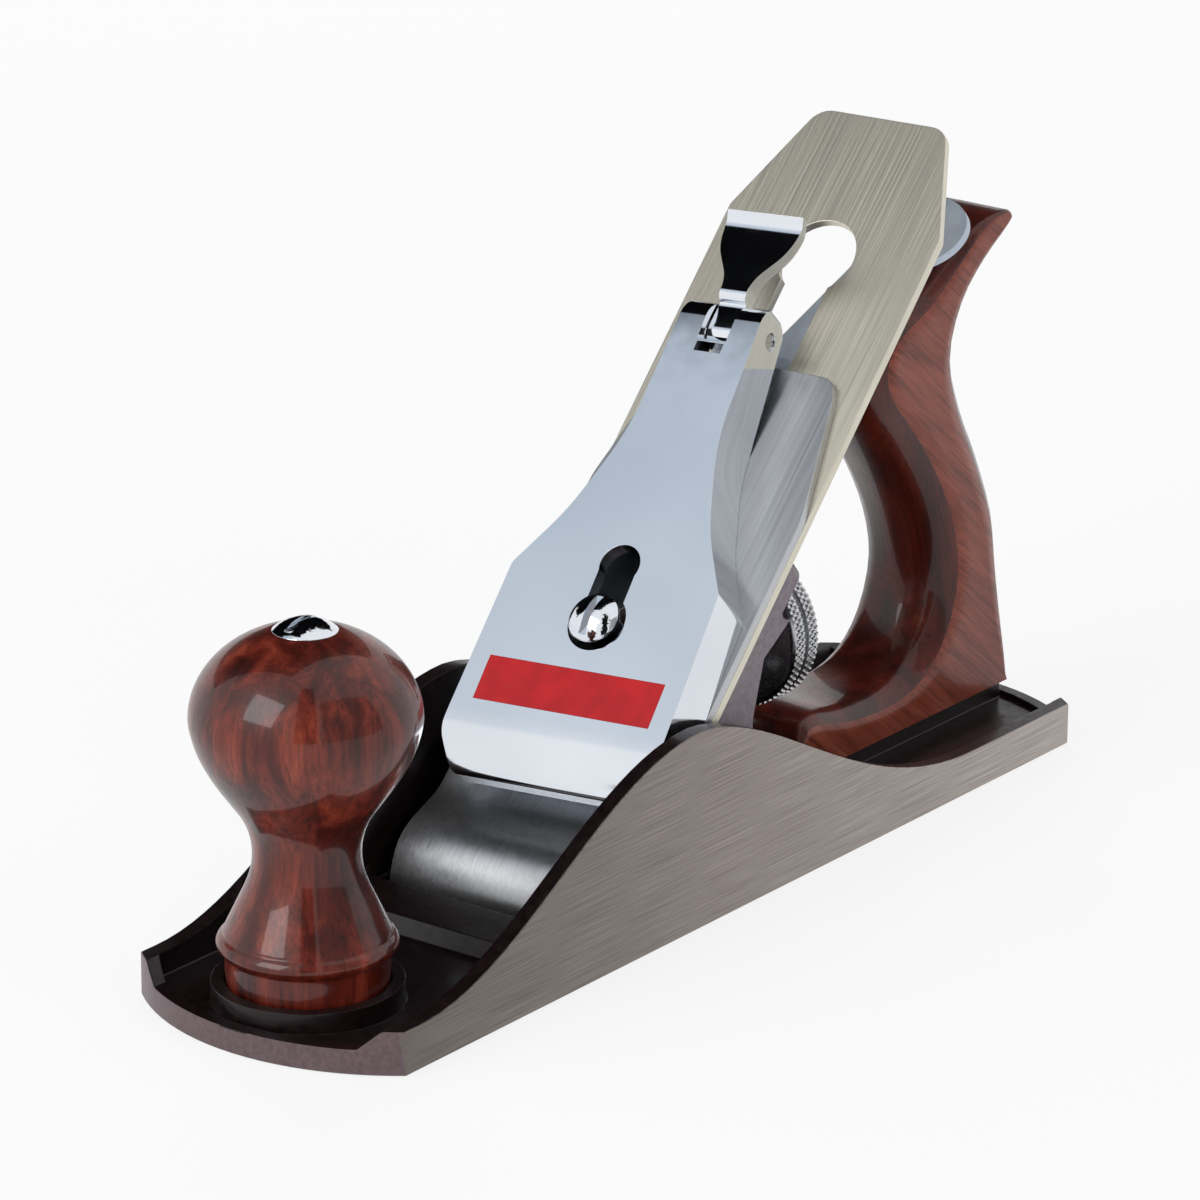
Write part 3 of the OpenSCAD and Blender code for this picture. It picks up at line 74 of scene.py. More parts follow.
# The knob's foot and top, its greatest radius, and the point where its axis meets its boss
KNOB_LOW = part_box("knob")[0].z / MM
KNOB_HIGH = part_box("knob")[1].z / MM
KNOB_R = (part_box("knob")[1].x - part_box("knob")[0].x) / MM / 2
KNOB_PLACE = Vector(((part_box("knob")[0].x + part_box("knob")[1].x) / 2, 0, KNOB_LOW * MM))


def on_lever_cap(up, out):
    """The matrix that lays a piece modelled flat on the lever cap, up it and out from the bed."""
    place = Vector((EDGE_X, 0, 0)) + BED_UP * SCREW_UP + CAP_UP * (up - SCREW_UP) + BED_OUT * out
    turn = Matrix((CAP_UP, CAP_ACROSS, BED_OUT)).transposed()
    return Matrix.Translation(place * MM) @ turn.to_4x4()


# Materials

# Most of a noise texture lies between these values
NOISE_LOW = 0.3
NOISE_HIGH = 0.7

# A Mix node's colour sockets by number: its two inputs and its result
MIX_A = 6
MIX_B = 7
MIX_RESULT = 2


def colour(hex_value):
    """An sRGB hex colour as linear red, green, blue and alpha."""
    channels = [int(hex_value[i:i + 2], 16) / 255 for i in (1, 3, 5)]
    return [c / 12.92 if c <= 0.04045 else ((c + 0.055) / 1.055) ** 2.4 for c in channels] + [1]


def add(tree, kind, links=None, stops=(), **settings):
    """Adds a node with its settings and colour stops, and links or sets its inputs."""
    made = tree.nodes.new(kind)
    for name, value in settings.items():
        setattr(made, name, value)
    for name, value in (links or {}).items():
        if isinstance(value, bpy.types.NodeSocket):
            tree.links.new(value, made.inputs[name])
        else:
            made.inputs[name].default_value = value
    if stops:
        elements = made.color_ramp.elements
        while len(elements) < len(stops):
            elements.new(0.5)
        for element, (position, hex_value) in zip(elements, stops):
            element.position = position
            element.color = colour(hex_value)
    return made


def new_material(name):
    material = bpy.data.materials.new(name)
    material.use_nodes = True
    material.node_tree.nodes.clear()
    return material, material.node_tree


def finish_material(tree, base, rough_noise, rough, numbers, height=None, depth=0.0):
    """The shader: a base colour, a roughness that follows a noise from low to high, the numbers
    that are the same all over, and a bump of this depth in millimetres."""
    low, high = rough
    roughness = add(tree, "ShaderNodeMapRange", {
        "Value": rough_noise, "From Min": NOISE_LOW, "From Max": NOISE_HIGH,
        "To Min": low, "To Max": high})
    shader = add(tree, "ShaderNodeBsdfPrincipled", {
        "Base Color": base, "Roughness": roughness.outputs["Result"], **numbers})
    if height:
        bump = add(tree, "ShaderNodeBump", {
            "Height": height, "Distance": depth * MM, "Strength": 1.0})
        tree.links.new(bump.outputs["Normal"], shader.inputs["Normal"])
    add(tree, "ShaderNodeOutputMaterial", {"Surface": shader.outputs["BSDF"]})


def streaks(tree, turn, size, detail, roughness, distortion=0.0):
    """Noise drawn out into streaks: their size along each axis, after a turn in radians."""
    place = add(tree, "ShaderNodeTexCoord")
    lying = add(tree, "ShaderNodeMapping", {"Vector": place.outputs["Object"], "Rotation": turn})
    drawn = add(tree, "ShaderNodeMapping", {
        "Vector": lying.outputs["Vector"], "Scale": [METRE / length for length in size]})
    noise = add(tree, "ShaderNodeTexNoise", {
        "Vector": drawn.outputs["Vector"], "Scale": 1.0, "Detail": detail,
        "Roughness": roughness, "Distortion": distortion})
    return noise.outputs["Fac"]


def clouds(tree, size, detail=3.0):
    """Soft noise in patches of about this size."""
    place = add(tree, "ShaderNodeTexCoord")
    noise = add(tree, "ShaderNodeTexNoise", {
        "Vector": place.outputs["Object"], "Scale": METRE / size, "Detail": detail,
        "Roughness": 0.55})
    return noise.outputs["Fac"]


def along_x(tree, low, high):
    """From 0 to 1 between two places along X, in metres."""
    place = add(tree, "ShaderNodeTexCoord")
    parts = add(tree, "ShaderNodeSeparateXYZ", {"Vector": place.outputs["Object"]})
    length = add(tree, "ShaderNodeMapRange", {
        "Value": parts.outputs["X"], "From Min": low, "From Max": high})
    return length.outputs["Result"]


def make_metal(name, dark, light, turn, along, across, rough, depth, metallic=1.0, painted_shade_stops=()):
    """A metal with the fine lines that grinding, brushing or turning leaves along X or, turned, up
    the bed. Stops from toe to heel paint shade into it, darker toward the toe."""
    material, tree = new_material(name)
    lines = streaks(tree, (0, turn, 0), (along, across, across), detail=4.0, roughness=0.6)
    base = add(tree, "ShaderNodeValToRGB", {"Fac": lines},
               [(NOISE_LOW, dark), (NOISE_HIGH, light)]).outputs["Color"]
    # Painted shade: these stops multiply the colour darker toward the toe
    if painted_shade_stops:
        painted_shade = add(tree, "ShaderNodeValToRGB", {"Fac": along_x(tree, TOE * MM, HEEL * MM)}, painted_shade_stops)
        base = add(tree, "ShaderNodeMix", {
            "Factor": 1.0, MIX_A: base, MIX_B: painted_shade.outputs["Color"]},
            data_type="RGBA", blend_type="MULTIPLY").outputs[MIX_RESULT]
    finish_material(tree, base, lines, rough, {"Metallic": metallic}, lines, depth)
    return material


def make_chrome(name, dark, light, rough):
    """Chrome plate over polished iron."""
    material, tree = new_material(name)
    waves = clouds(tree, size=38, detail=1.0)
    base = add(tree, "ShaderNodeValToRGB", {"Fac": waves},
               [(NOISE_LOW, dark), (NOISE_HIGH, light)])
    finish_material(tree, base.outputs["Color"], clouds(tree, size=5), rough, {"Metallic": 1},
                    waves, depth=0.03)
    return material


def make_enamel(name, dark, light, grain, coat, depth):
    """Baked enamel on rough cast iron: a gloss coat over the grain that the sand leaves."""
    material, tree = new_material(name)
    skin = clouds(tree, size=grain, detail=4.0)
    base = add(tree, "ShaderNodeValToRGB", {"Fac": skin},
               [(NOISE_LOW, dark), (NOISE_HIGH, light)])
    finish_material(tree, base.outputs["Color"], skin, (0.3, 0.48), {
        "Specular IOR Level": 0.3, "Coat Weight": coat, "Coat Roughness": 0.12}, skin, depth)
    return material


def make_gloss_enamel(name, dark, light):
    """Enamel on a smooth ground, a touch darker in the thin places."""
    material, tree = new_material(name)
    base = add(tree, "ShaderNodeValToRGB", {"Fac": clouds(tree, size=6)},
               [(0.35, dark), (0.65, light)])
    finish_material(tree, base.outputs["Color"], clouds(tree, size=2), (0.3, 0.4), {
        "Specular IOR Level": 0.3, "Coat Weight": 0.1, "Coat Roughness": 0.1})
    return material


# Where the shades of a wood's bands lie, from its darkest to its lightest, and its pores
BAND_STOPS = (0.28, 0.45, 0.6, 0.75)
PORE_ACROSS = 0.7
PORE_ALONG = 18


def make_wood(name, shades, turn, along, across, coat):
    """Stained hardwood under gloss lacquer: pores and darker bands along the grain."""
    material, tree = new_material(name)
    bands = streaks(tree, turn, (across, across, along), detail=5.0, roughness=0.6, distortion=0.6)
    pores = streaks(tree, turn, (PORE_ACROSS, PORE_ACROSS, PORE_ALONG), detail=4.0, roughness=0.65)
    stain = add(tree, "ShaderNodeValToRGB", {"Fac": bands}, list(zip(BAND_STOPS, shades)))
    filled = add(tree, "ShaderNodeValToRGB", {"Fac": pores}, [(0.36, "#A4A4A4"), (0.52, "#FFFFFF")])
    base = add(tree, "ShaderNodeMix", {
        "Factor": 0.7, MIX_A: stain.outputs["Color"], MIX_B: filled.outputs["Color"]},
        data_type="RGBA", blend_type="MULTIPLY")
    finish_material(tree, base.outputs[MIX_RESULT], pores, (0.42, 0.3), {
        "Specular IOR Level": 0.25, "Coat Weight": coat, "Coat Roughness": 0.06},
        pores, depth=0.006)
    return material


# Grey cast iron, surface ground: belt lines along the sole, a warm grey that scatters light in long
# streaks, and painted shade that darkens it toward the toe
GROUND_IRON = make_metal(
    "ground_cast_iron", "#8E8682", "#CAC3BE", turn=0, along=22, across=0.25,
    rough=(0.34, 0.5), depth=0.003, painted_shade_stops=[(0.0, "#A39F9D"), (0.45, "#D3CFCD"), (1.0, "#FFFFFF")])

# Tool steel, brushed along its length: a beige cast and a soft long sheen
BRUSHED_BLADE = make_metal(
    "brushed_tool_steel", "#CDC8B8", "#E6E1D2", turn=BED_ANGLE, along=40, across=0.35,
    rough=(0.36, 0.48), depth=0.001)

# Spring steel with a satin finish: neutral, and smoother than the blade
SATIN_STEEL = make_metal(
    "satin_spring_steel", "#B0B2B5", "#C6C8CB", turn=BED_ANGLE, along=40, across=0.4,
    rough=(0.28, 0.36), depth=0.0003)

# Free-cutting steel off the lathe: bright, with faint turning lines
TURNED_STEEL = make_metal(
    "turned_bright_steel", "#A4A5A7", "#CFD0D2", turn=0, along=6, across=0.5,
    rough=(0.16, 0.28), depth=0.001)

# Spring steel blackened in oil: dark grey with an uneven soft sheen
DARK_STEEL = make_metal(
    "oiled_dark_steel", "#2E2F32", "#55575B", turn=0, along=8, across=1.2,
    rough=(0.35, 0.5), depth=0.002)

# Turned brass: a warm yellow metal with faint turning lines
BRASS = make_metal(
    "turned_brass", "#A07C3A", "#CFA85C", turn=0, along=6, across=0.5,
    rough=(0.2, 0.3), depth=0.001)

# Chrome plate, buffed: a mirror with a faint blue cast, over the slow waves of the casting
CHROME = make_chrome("polished_chrome_plate", "#DADFE6", "#E6EAF0", rough=(0.06, 0.11))

# Zinc plate gone dull: pale blue grey, nearer to paint than to a mirror
PLAIN_PLATE = make_metal(
    "dull_zinc_plate", "#B4BECC", "#C8D1DD", turn=0, along=9, across=3,
    rough=(0.5, 0.62), depth=0.001, metallic=0.35)

# Japan, baked on the casting: nearly black with a brown depth, and a soft gloss over its grain
JAPAN = make_enamel("dark_japan_enamel", "#0C0405", "#1A0B0D", grain=1.6, coat=0.2, depth=0.03)

# Thin enamel on the frog: a mauve grey through which the grain of the sand casting shows
FROG_PAINT = make_enamel("frog_grey_paint", "#6E6368", "#8D8086", grain=1.4, coat=0.1, depth=0.04)

# The same enamel, paler on the outer faces of toe and heel: a dusty brown over a finer grain
TOE_PAINT = make_enamel("toe_brown_paint", "#5A484B", "#6F5C5F", grain=1.2, coat=0.1, depth=0.03)

# Red enamel in the lever cap's sunk panel: even and clear, with a gentle gloss
RED_ENAMEL = make_gloss_enamel("red_gloss_enamel", "#B80F15", "#CC151C")

# Stained hardwood, turned and lacquered: a red brown with black-brown figure, deep in its gloss
KNOB_WOOD = make_wood(
    "lacquered_knob_wood", ("#240904", "#4E150B", "#762A1A", "#9A4631"),
    turn=(0, 0, 0), along=60, across=6, coat=0.5)

# The same wood, shaped and lacquered on the tote's rounds, painted darker as painted shade, with
# its grain up the grip
TOTE_SHADED_WOOD = make_wood(
    "tote_wood_painted_shade", ("#260905", "#42130A", "#5A1D10", "#74301E"),
    turn=(0, 0.35, 0), along=90, across=9, coat=0.4)

# The tote's flats: a thinner coat, and the same wood painted paler as a painted sheen, with its
# grain in short streaks
TOTE_LIT_FLAT_WOOD = make_wood(
    "tote_flat_wood_painted_sheen", ("#6A2A1B", "#7E3725", "#8C4431", "#9C533F"),
    turn=(0, 0.9, 0), along=30, across=3, coat=0.25)


# Working on pieces

# Distances within which points are merged: in a copy of a CAD node, in a new piece, and in the
# corners of a bevel
COPY_WELD = 0.01
NEW_WELD = 0.005
BEVEL_WELD = 0.002

# Faces of a CAD node that lie within this angle of each other are one flat face, in degrees
ONE_FLAT = 0.6

# How strongly a piece's largest faces hold the shading of their rounded edges, from 1 to 100
FLAT_WEIGHT = 80


def select_only(piece):
    bpy.ops.object.select_all(action="DESELECT")
    piece.select_set(True)
    bpy.context.view_layer.objects.active = piece


def edit_all(piece):
    """Edit mode with the whole piece selected."""
    select_only(piece)
    bpy.ops.object.mode_set(mode="EDIT")
    bpy.ops.mesh.select_all(action="SELECT")


def edit_some(piece, kind, chosen):
    """Edit mode with just the vertices, or the faces, that pass a test selected."""
    select_only(piece)
    bpy.ops.object.mode_set(mode="EDIT")
    bpy.ops.mesh.select_mode(type=kind)
    bpy.ops.mesh.select_all(action="DESELECT")
    bpy.ops.object.mode_set(mode="OBJECT")
    for element in piece.data.polygons if kind == "FACE" else piece.data.vertices:
        element.select = chosen(element)
    bpy.ops.object.mode_set(mode="EDIT")


def leave_edit():
    bpy.ops.mesh.select_mode(type="VERT")
    bpy.ops.object.mode_set(mode="OBJECT")


def weld(distance):
    bpy.ops.mesh.remove_doubles(threshold=distance * MM)


def point_outwards():
    bpy.ops.mesh.select_all(action="SELECT")
    bpy.ops.mesh.normals_make_consistent(inside=False)


def round_edges(piece, width, segments=2, above=35):
    """Bevels the edges sharper than an angle in degrees, as a file or the casting rounds them."""
    select_only(piece)
    bevel = piece.modifiers.new("Round edges", "BEVEL")
    bevel.width = width * MM
    bevel.segments = segments
    bevel.limit_method = "ANGLE"
    bevel.angle_limit = math.radians(above)
    bpy.ops.object.modifier_apply(modifier=bevel.name)
    edit_all(piece)
    weld(BEVEL_WELD)
    leave_edit()


def shade(piece, degrees=30):
    select_only(piece)
    bpy.ops.object.shade_smooth_by_angle(angle=math.radians(degrees))


def flatten(piece):
    """Normals that keep flat faces flat beside rounded edges."""
    select_only(piece)
    change = piece.modifiers.new("Face normals", "WEIGHTED_NORMAL")
    change.keep_sharp = True
    change.weight = FLAT_WEIGHT
    bpy.ops.object.modifier_apply(modifier=change.name)


def lay(piece, matrix):
    """Places a piece that was modelled at the origin and applies its place to its mesh."""
    select_only(piece)
    piece.matrix_world = matrix
    bpy.ops.object.transform_apply(location=True, rotation=True, scale=True)


def cut_or_join(piece, tool, operation):
    """Joins a second solid to a piece, or cuts it away, and drops the tool."""
    select_only(piece)
    change = piece.modifiers.new("Cut or join", "BOOLEAN")
    change.operation = operation
    change.object = tool
    change.solver = "EXACT"
    bpy.ops.object.modifier_apply(modifier=change.name)
    bpy.data.objects.remove(tool)


def smooth_line(points, count):
    """A smooth open curve through points, with this many steps between neighbours."""
    line = []
    last = len(points) - 1
    for i in range(last):
        around = points[max(i - 1, 0)], points[i], points[i + 1], points[min(i + 2, last)]
        for j in range(count):
            t = j / count
            line.append([0.5 * (2 * q + (r - p) * t + (2 * p - 5 * q + 4 * r - s) * t * t
                                + (3 * q - p - 3 * r + s) * t ** 3)
                         for p, q, r, s in zip(*around)])
    line.append(list(points[-1]))
    return line


# Ways of making a piece


def add_plane(name, size, place=(0, 0, 0)):
    """A square plane, with its size and place in metres."""
    bpy.ops.object.select_all(action="DESELECT")
    bpy.ops.mesh.primitive_plane_add(size=size, location=place)
    plane = bpy.context.active_object
    plane.name = name
    return plane


def copy_node(node, name, whole=True):
    """A piece of its own that starts as a copy of a CAD node, with its flat faces whole again."""
    piece = bpy.data.objects.new(name, frame["nodes"][node].data.copy())
    bpy.context.scene.collection.objects.link(piece)
    edit_all(piece)
    weld(COPY_WELD)
    if whole:
        bpy.ops.mesh.dissolve_limited(angle_limit=math.radians(ONE_FLAT))
        weld(COPY_WELD)
    leave_edit()
    return piece


def turned(name, outline, centre, steps=96):
    """A turned piece: its outline of (radius, height) is extruded point by point and spun."""
    piece = add_plane(name, 1 * MM)
    edit_all(piece)
    bpy.ops.mesh.merge(type="CENTER")
    points = [Vector((centre.x + radius * MM, centre.y, centre.z + height * MM))
              for radius, height in outline]
    bpy.ops.transform.translate(value=points[0])
    for here, there in zip(points, points[1:]):
        bpy.ops.mesh.extrude_region_move(TRANSFORM_OT_translate={"value": there - here})
    bpy.ops.mesh.select_all(action="SELECT")
    bpy.ops.mesh.spin(steps=steps, angle=math.tau, center=centre, axis=(0, 0, 1),
                      use_auto_merge=True)
    bpy.ops.mesh.select_all(action="SELECT")
    weld(NEW_WELD)
    point_outwards()
    leave_edit()
    return piece


def drawn_bar(name, stations):
    """A bar along X, extruded from station to station: place, height, half width and half
    thickness."""
    piece = add_plane(name, 2 * MM)
    edit_all(piece)
    bpy.ops.transform.rotate(value=math.pi / 2, orient_axis="Y", center_override=(0, 0, 0))
    x, z, width, thick = stations[0]
    bpy.ops.transform.resize(value=(1, width, thick), center_override=(0, 0, 0))
    bpy.ops.transform.translate(value=(x * MM, 0, z * MM))
    for next_x, next_z, next_width, next_thick in stations[1:]:
        bpy.ops.mesh.extrude_region_move(
            TRANSFORM_OT_translate={"value": ((next_x - x) * MM, 0, (next_z - z) * MM)})
        bpy.ops.transform.resize(value=(1, next_width / width, next_thick / thick),
                                 center_override=(next_x * MM, 0, next_z * MM))
        x, z, width, thick = next_x, next_z, next_width, next_thick
    bpy.ops.mesh.select_all(action="SELECT")
    weld(NEW_WELD)
    bpy.ops.mesh.select_non_manifold()
    bpy.ops.mesh.fill_holes(sides=4)
    point_outwards()
    leave_edit()
    return piece


def cross_pin(name, radius, length):
    """A round pin across a piece, along Y through the origin."""
    bpy.ops.object.select_all(action="DESELECT")
    bpy.ops.mesh.primitive_cylinder_add(vertices=48, radius=radius * MM, depth=length * MM,
                                        location=(0, 0, 0), rotation=(math.pi / 2, 0, 0))
    piece = bpy.context.active_object
    piece.name = name
    bpy.ops.object.transform_apply(location=True, rotation=True, scale=True)
    return piece


# Giving pieces their finish


def paint(piece, *materials):
    """Gives a piece its materials, in the order of its faces' material numbers."""
    piece.data.materials.clear()
    for material in materials:
        piece.data.materials.append(material)


def body_of(node):
    for body, members in frame["record"]["behaviour"]["bodies"].items():
        if node in members:
            return body


def finish_piece(piece, node):
    """A new piece rides on the body of the CAD node that it stands for."""
    body = body_of(node)
    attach(piece, body)
    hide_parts(node)


def repaint(node, material):
    """A CAD node whose shape is right keeps it and gets its material."""
    paint(frame["nodes"][node], material)


def dress(node, material, width, above=35):
    """Replaces a CAD node by its copy with rounded edges."""
    piece = copy_node(node, node + "_dressed")
    round_edges(piece, width, above=above)
    shade(piece)
    flatten(piece)
    paint(piece, material)
    finish_piece(piece, node)


# Widths of the rounded edges: ground and turned pieces, the panel, the body, the frog, the
# lever cap and the cam lever
FINE_EDGE = 0.15
PANEL_EDGE = 0.12
BODY_EDGE = 0.35
FROG_EDGE = 0.4
LEVER_CAP_EDGE = 1.1
CAM_EDGE = 0.35

# A casting's edges are rounded above this angle, in degrees
CAST_EDGE_ABOVE = 40


# The body casting

# How deep the grinding of cheeks and sole reaches, how long the painted ends are, and how far
# from the knob's axis its japanned boss reaches
CHEEK_SKIN = 0.6
SOLE_SKIN = 0.4
END_LENGTH = 14
BOSS_REACH = 22

# A face looks along an axis when its normal has more than this there, and up when it has 0.5
FACING = 0.3
FACING_UP = 0.5


def make_body():
    """The casting: japanned inside, ground on cheeks and sole, painted on its outer ends."""
    piece = copy_node("body", "body_dressed")
    round_edges(piece, BODY_EDGE, above=CAST_EDGE_ABOVE)
    paint(piece, JAPAN, GROUND_IRON, TOE_PAINT)
    for face in piece.data.polygons:
        middle, normal = face.center, face.normal
        cheek = abs(middle.y) > (HALF_SOLE - CHEEK_SKIN) * MM and abs(normal.y) > FACING
        sole = middle.z < SOLE_SKIN * MM
        end = abs(middle.x) > (HEEL - END_LENGTH) * MM and abs(normal.z) < FACING_UP
        outward = middle.x * normal.x > 0 and abs(normal.x) > FACING
        boss = (middle - KNOB_PLACE).xy.length <= BOSS_REACH * MM
        face.material_index = 1 if cheek or sole else 2 if end and outward and not boss else 0
    shade(piece)
    flatten(piece)
    finish_piece(piece, "body")


# The knob

# Its outline as radii and heights above its boss, up to its widest: a foot with a bead, a slim
# neck and the lower half of the ball
KNOB_LINE = [
    (14.9, 0.0), (15.2, 0.3), (15.5, 3), (15.5, 6.2), (16.0, 6.9), (16.9, 7.9), (17.1, 8.8),
    (16.6, 9.8), (15.9, 10.5), (15.7, 11.0), (15.1, 12.2), (13.4, 15.8), (11.6, 19.6), (10.5, 23),
    (10.2, 26.5), (10.7, 30), (12.1, 33.4), (14.6, 37), (17.6, 41.3), (20.1, 46), (21.4, 50.2),
    (21.7, 52.4)]

# The radii of its flat top, of the nut's recess and of its bore, and the recess's depth
KNOB_FLAT_R = 6.2
KNOB_RECESS_R = 4.8
KNOB_BORE_R = 3.4
KNOB_RECESS = 4
CROWN_STEPS = 16


def make_knob():
    """Turned as one smooth outline, with its bore."""
    height = KNOB_HIGH - KNOB_LOW
    middle = KNOB_LINE[-1][1]
    crown = (height - middle) / math.cos(math.asin(KNOB_FLAT_R / KNOB_R))
    side = smooth_line(KNOB_LINE, 3)
    side[-1] = (KNOB_R, middle)
    angles = [math.acos(KNOB_FLAT_R / KNOB_R) * i / CROWN_STEPS for i in range(1, CROWN_STEPS + 1)]
    top = [(KNOB_R * math.cos(angle), middle + crown * math.sin(angle)) for angle in angles]
    bore = [(KNOB_RECESS_R, height), (KNOB_RECESS_R, height - KNOB_RECESS),
            (KNOB_BORE_R, height - KNOB_RECESS), (KNOB_BORE_R, 0.0)]
    piece = turned("knob_turned", [(KNOB_BORE_R, 0.0)] + side + top + bore, KNOB_PLACE)
    shade(piece, degrees=40)
    paint(piece, KNOB_WOOD)
    finish_piece(piece, "knob")


# The tote

# The flats are the outermost faces, within this distance, and faces with at least this sideways
# normal get the flats' painted sheen
FLAT_SKIN = 0.02
FLAT_FACING = 0.96


def make_tote():
    """The tote with its flats filled anew: painted shade darkens its rounds, and a painted sheen
    lightens its flats under a thin coat.
    """
    piece = copy_node("tote", "tote_lacquered", whole=False)
    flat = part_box("tote")[1].y - FLAT_SKIN * MM
    points = piece.data.vertices
    edit_some(piece, "FACE", lambda face: all(abs(points[k].co.y) > flat for k in face.vertices))
    bpy.ops.mesh.delete(type="FACE")
    bpy.ops.mesh.select_all(action="SELECT")
    bpy.ops.mesh.fill_holes(sides=0)
    point_outwards()
    leave_edit()
    paint(piece, TOTE_SHADED_WOOD, TOTE_LIT_FLAT_WOOD)
    # Painted light: faces that look sideways get the pale wood, the rest the dark wood
    for face in piece.data.polygons:
        face.material_index = 1 if abs(face.normal.y) > FLAT_FACING else 0
    shade(piece, degrees=28)
    flatten(piece)
    finish_piece(piece, "tote")


# The depth wheel

# Its outline as radii and places along its axle: two bands for the knurling beside a groove,
# and a rear face sunk between its rim and its hub
WHEEL_OUTLINE = [
    (4.1, 0.0), (14.3, 0.0), (15.0, 0.25), (15.4, 0.6), (15.4, 1.55), (15.4, 2.5), (15.4, 3.45),
    (14.5, 3.6), (14.4, 4.25), (14.5, 4.9), (15.4, 5.05), (15.4, 6.0), (15.4, 6.95), (15.4, 7.9),
    (15.0, 8.25), (14.3, 8.5), (12.4, 8.5), (12.1, 8.2), (12.1, 6.7), (11.8, 6.5), (6.4, 6.5),
    (6.1, 6.7), (6.1, 8.2), (5.8, 8.5), (4.1, 8.5), (4.1, 0.0)]

# The knurling: its columns round the wheel, its rows' height and how many a band has, the places
# where the bands start, the radius beyond which a face is on a band, a place in the groove
# between them, how upright a band's faces are, and how far a knurl stands in and out
WHEEL_COLUMNS = 144
ROW_HEIGHT = 0.95
BAND_ROWS = 3
BAND_STARTS = (0.6, 5.05)
BAND_INNER_R = 15.3
GROOVE_PLACE = 4
UPRIGHT = 0.1
KNURL_GAP = 0.14
KNURL_HEIGHT = 0.32


def make_wheel():
    """Turned about Z, knurled by insetting every second face of the bands, and laid along X."""
    piece = turned("depth_wheel", WHEEL_OUTLINE, Vector((0, 0, 0)), WHEEL_COLUMNS)

    def knurled(face):
        x, y, z = (length / MM for length in face.center)
        row = (z - BAND_STARTS[z > GROOVE_PLACE]) / ROW_HEIGHT
        column = math.floor((math.atan2(y, x) / math.tau + 1) * WHEEL_COLUMNS)
        on_band = math.hypot(x, y) > BAND_INNER_R and abs(face.normal.z) < UPRIGHT
        return on_band and 0 < row < BAND_ROWS and (column + math.floor(row)) % 2 == 0

    edit_some(piece, "FACE", knurled)
    bpy.ops.mesh.inset(thickness=KNURL_GAP * MM, depth=KNURL_HEIGHT * MM, use_individual=True)
    leave_edit()
    shade(piece, degrees=25)
    low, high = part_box("depth_nut")
    turn = Matrix.Rotation(math.pi / 2, 4, "Y")
    lay(piece, Matrix.Translation((low.x, (low.y + high.y) / 2, (low.z + high.z) / 2)) @ turn)
    paint(piece, TURNED_STEEL)
    finish_piece(piece, "depth_nut")


# The lever cap and its cam lever

# The cam's pin: its place up the bed's line and out from it
CAM_PIN_UP = 130
CAM_PIN_OUT = 10

# The small slot that shows in front of the cam: its length, width and depth, and its place
# down and out from the pin
CAP_SLOT = (2.2, 6.2, 6)
CAP_SLOT_DOWN = 5.7
CAP_SLOT_OUT = 3.5

# The cam lever from its pin: place, height over the pin, half width and half thickness. A flat
# neck over the hub steps up to a blade, which spreads into a fish tail with a turned-up lip.
CAM_BLADE = [
    (-3.3, 0.55, 3.05, 1.25), (-2.4, 1.35, 3.05, 1.5), (-1.2, 1.75, 3.05, 1.8),
    (0, 1.85, 3.05, 1.9), (2.6, 1.75, 3.05, 1.85), (5.3, 1.55, 3.05, 1.85), (5.9, 2.3, 3.05, 1.9),
    (6.6, 2.95, 3.05, 1.95), (7.6, 3.2, 3.1, 1.95), (9, 3.3, 3.2, 1.8), (11.5, 3.4, 4.0, 1.55),
    (14, 3.4, 5.6, 1.4), (16.5, 3.3, 7.2, 1.3), (19, 3.2, 8.2, 1.2), (22, 3.1, 8.75, 1.1),
    (23.8, 3.4, 8.85, 1.0), (25.1, 4.25, 8.9, 0.85), (25.7, 4.8, 8.9, 0.7)]

# Its hub, whose lower half, beyond the middle by this much, is drawn down to the lobe that
# presses on the irons, and its bore
CAM_LOBE_BELOW = 0.01
CAM_HUB_R = 3.45
CAM_HUB_HALF = 3.1
CAM_DROP = 3.0
CAM_BORE_R = 1.9
CAM_BORE_LENGTH = 20


def make_lever_cap():
    """The plated casting, with the small slot that lies before the cam."""
    piece = copy_node("lever_cap", "lever_cap_plated")
    bpy.ops.object.select_all(action="DESELECT")
    bpy.ops.mesh.primitive_cube_add(size=1, location=(0, 0, 0))
    slot = bpy.context.active_object
    slot.scale = [length * MM for length in CAP_SLOT]
    bpy.ops.object.transform_apply(location=False, rotation=False, scale=True)
    lay(slot, on_lever_cap(CAM_PIN_UP - CAP_SLOT_DOWN, CAM_PIN_OUT + CAP_SLOT_OUT))
    cut_or_join(piece, slot, "DIFFERENCE")
    round_edges(piece, LEVER_CAP_EDGE, segments=4)
    shade(piece)
    flatten(piece)
    paint(piece, CHROME)
    finish_piece(piece, "lever_cap")


def make_cam_lever():
    """Modelled flat about its pin, then laid on the lever cap."""
    piece = drawn_bar("cam_lever_blade", smooth_line(CAM_BLADE, 3))
    hub = cross_pin("cam_hub", CAM_HUB_R, 2 * CAM_HUB_HALF)
    edit_some(hub, "VERT", lambda point: point.co.z < -CAM_LOBE_BELOW * MM)
    bpy.ops.transform.translate(value=(0, 0, -CAM_DROP * MM))
    leave_edit()
    cut_or_join(piece, hub, "UNION")
    cut_or_join(piece, cross_pin("cam_bore", CAM_BORE_R, CAM_BORE_LENGTH), "DIFFERENCE")
    round_edges(piece, CAM_EDGE, above=50)
    shade(piece, degrees=35)
    flatten(piece)
    lay(piece, on_lever_cap(CAM_PIN_UP, CAM_PIN_OUT))
    paint(piece, CHROME)
    finish_piece(piece, "cam_lever")


# All pieces

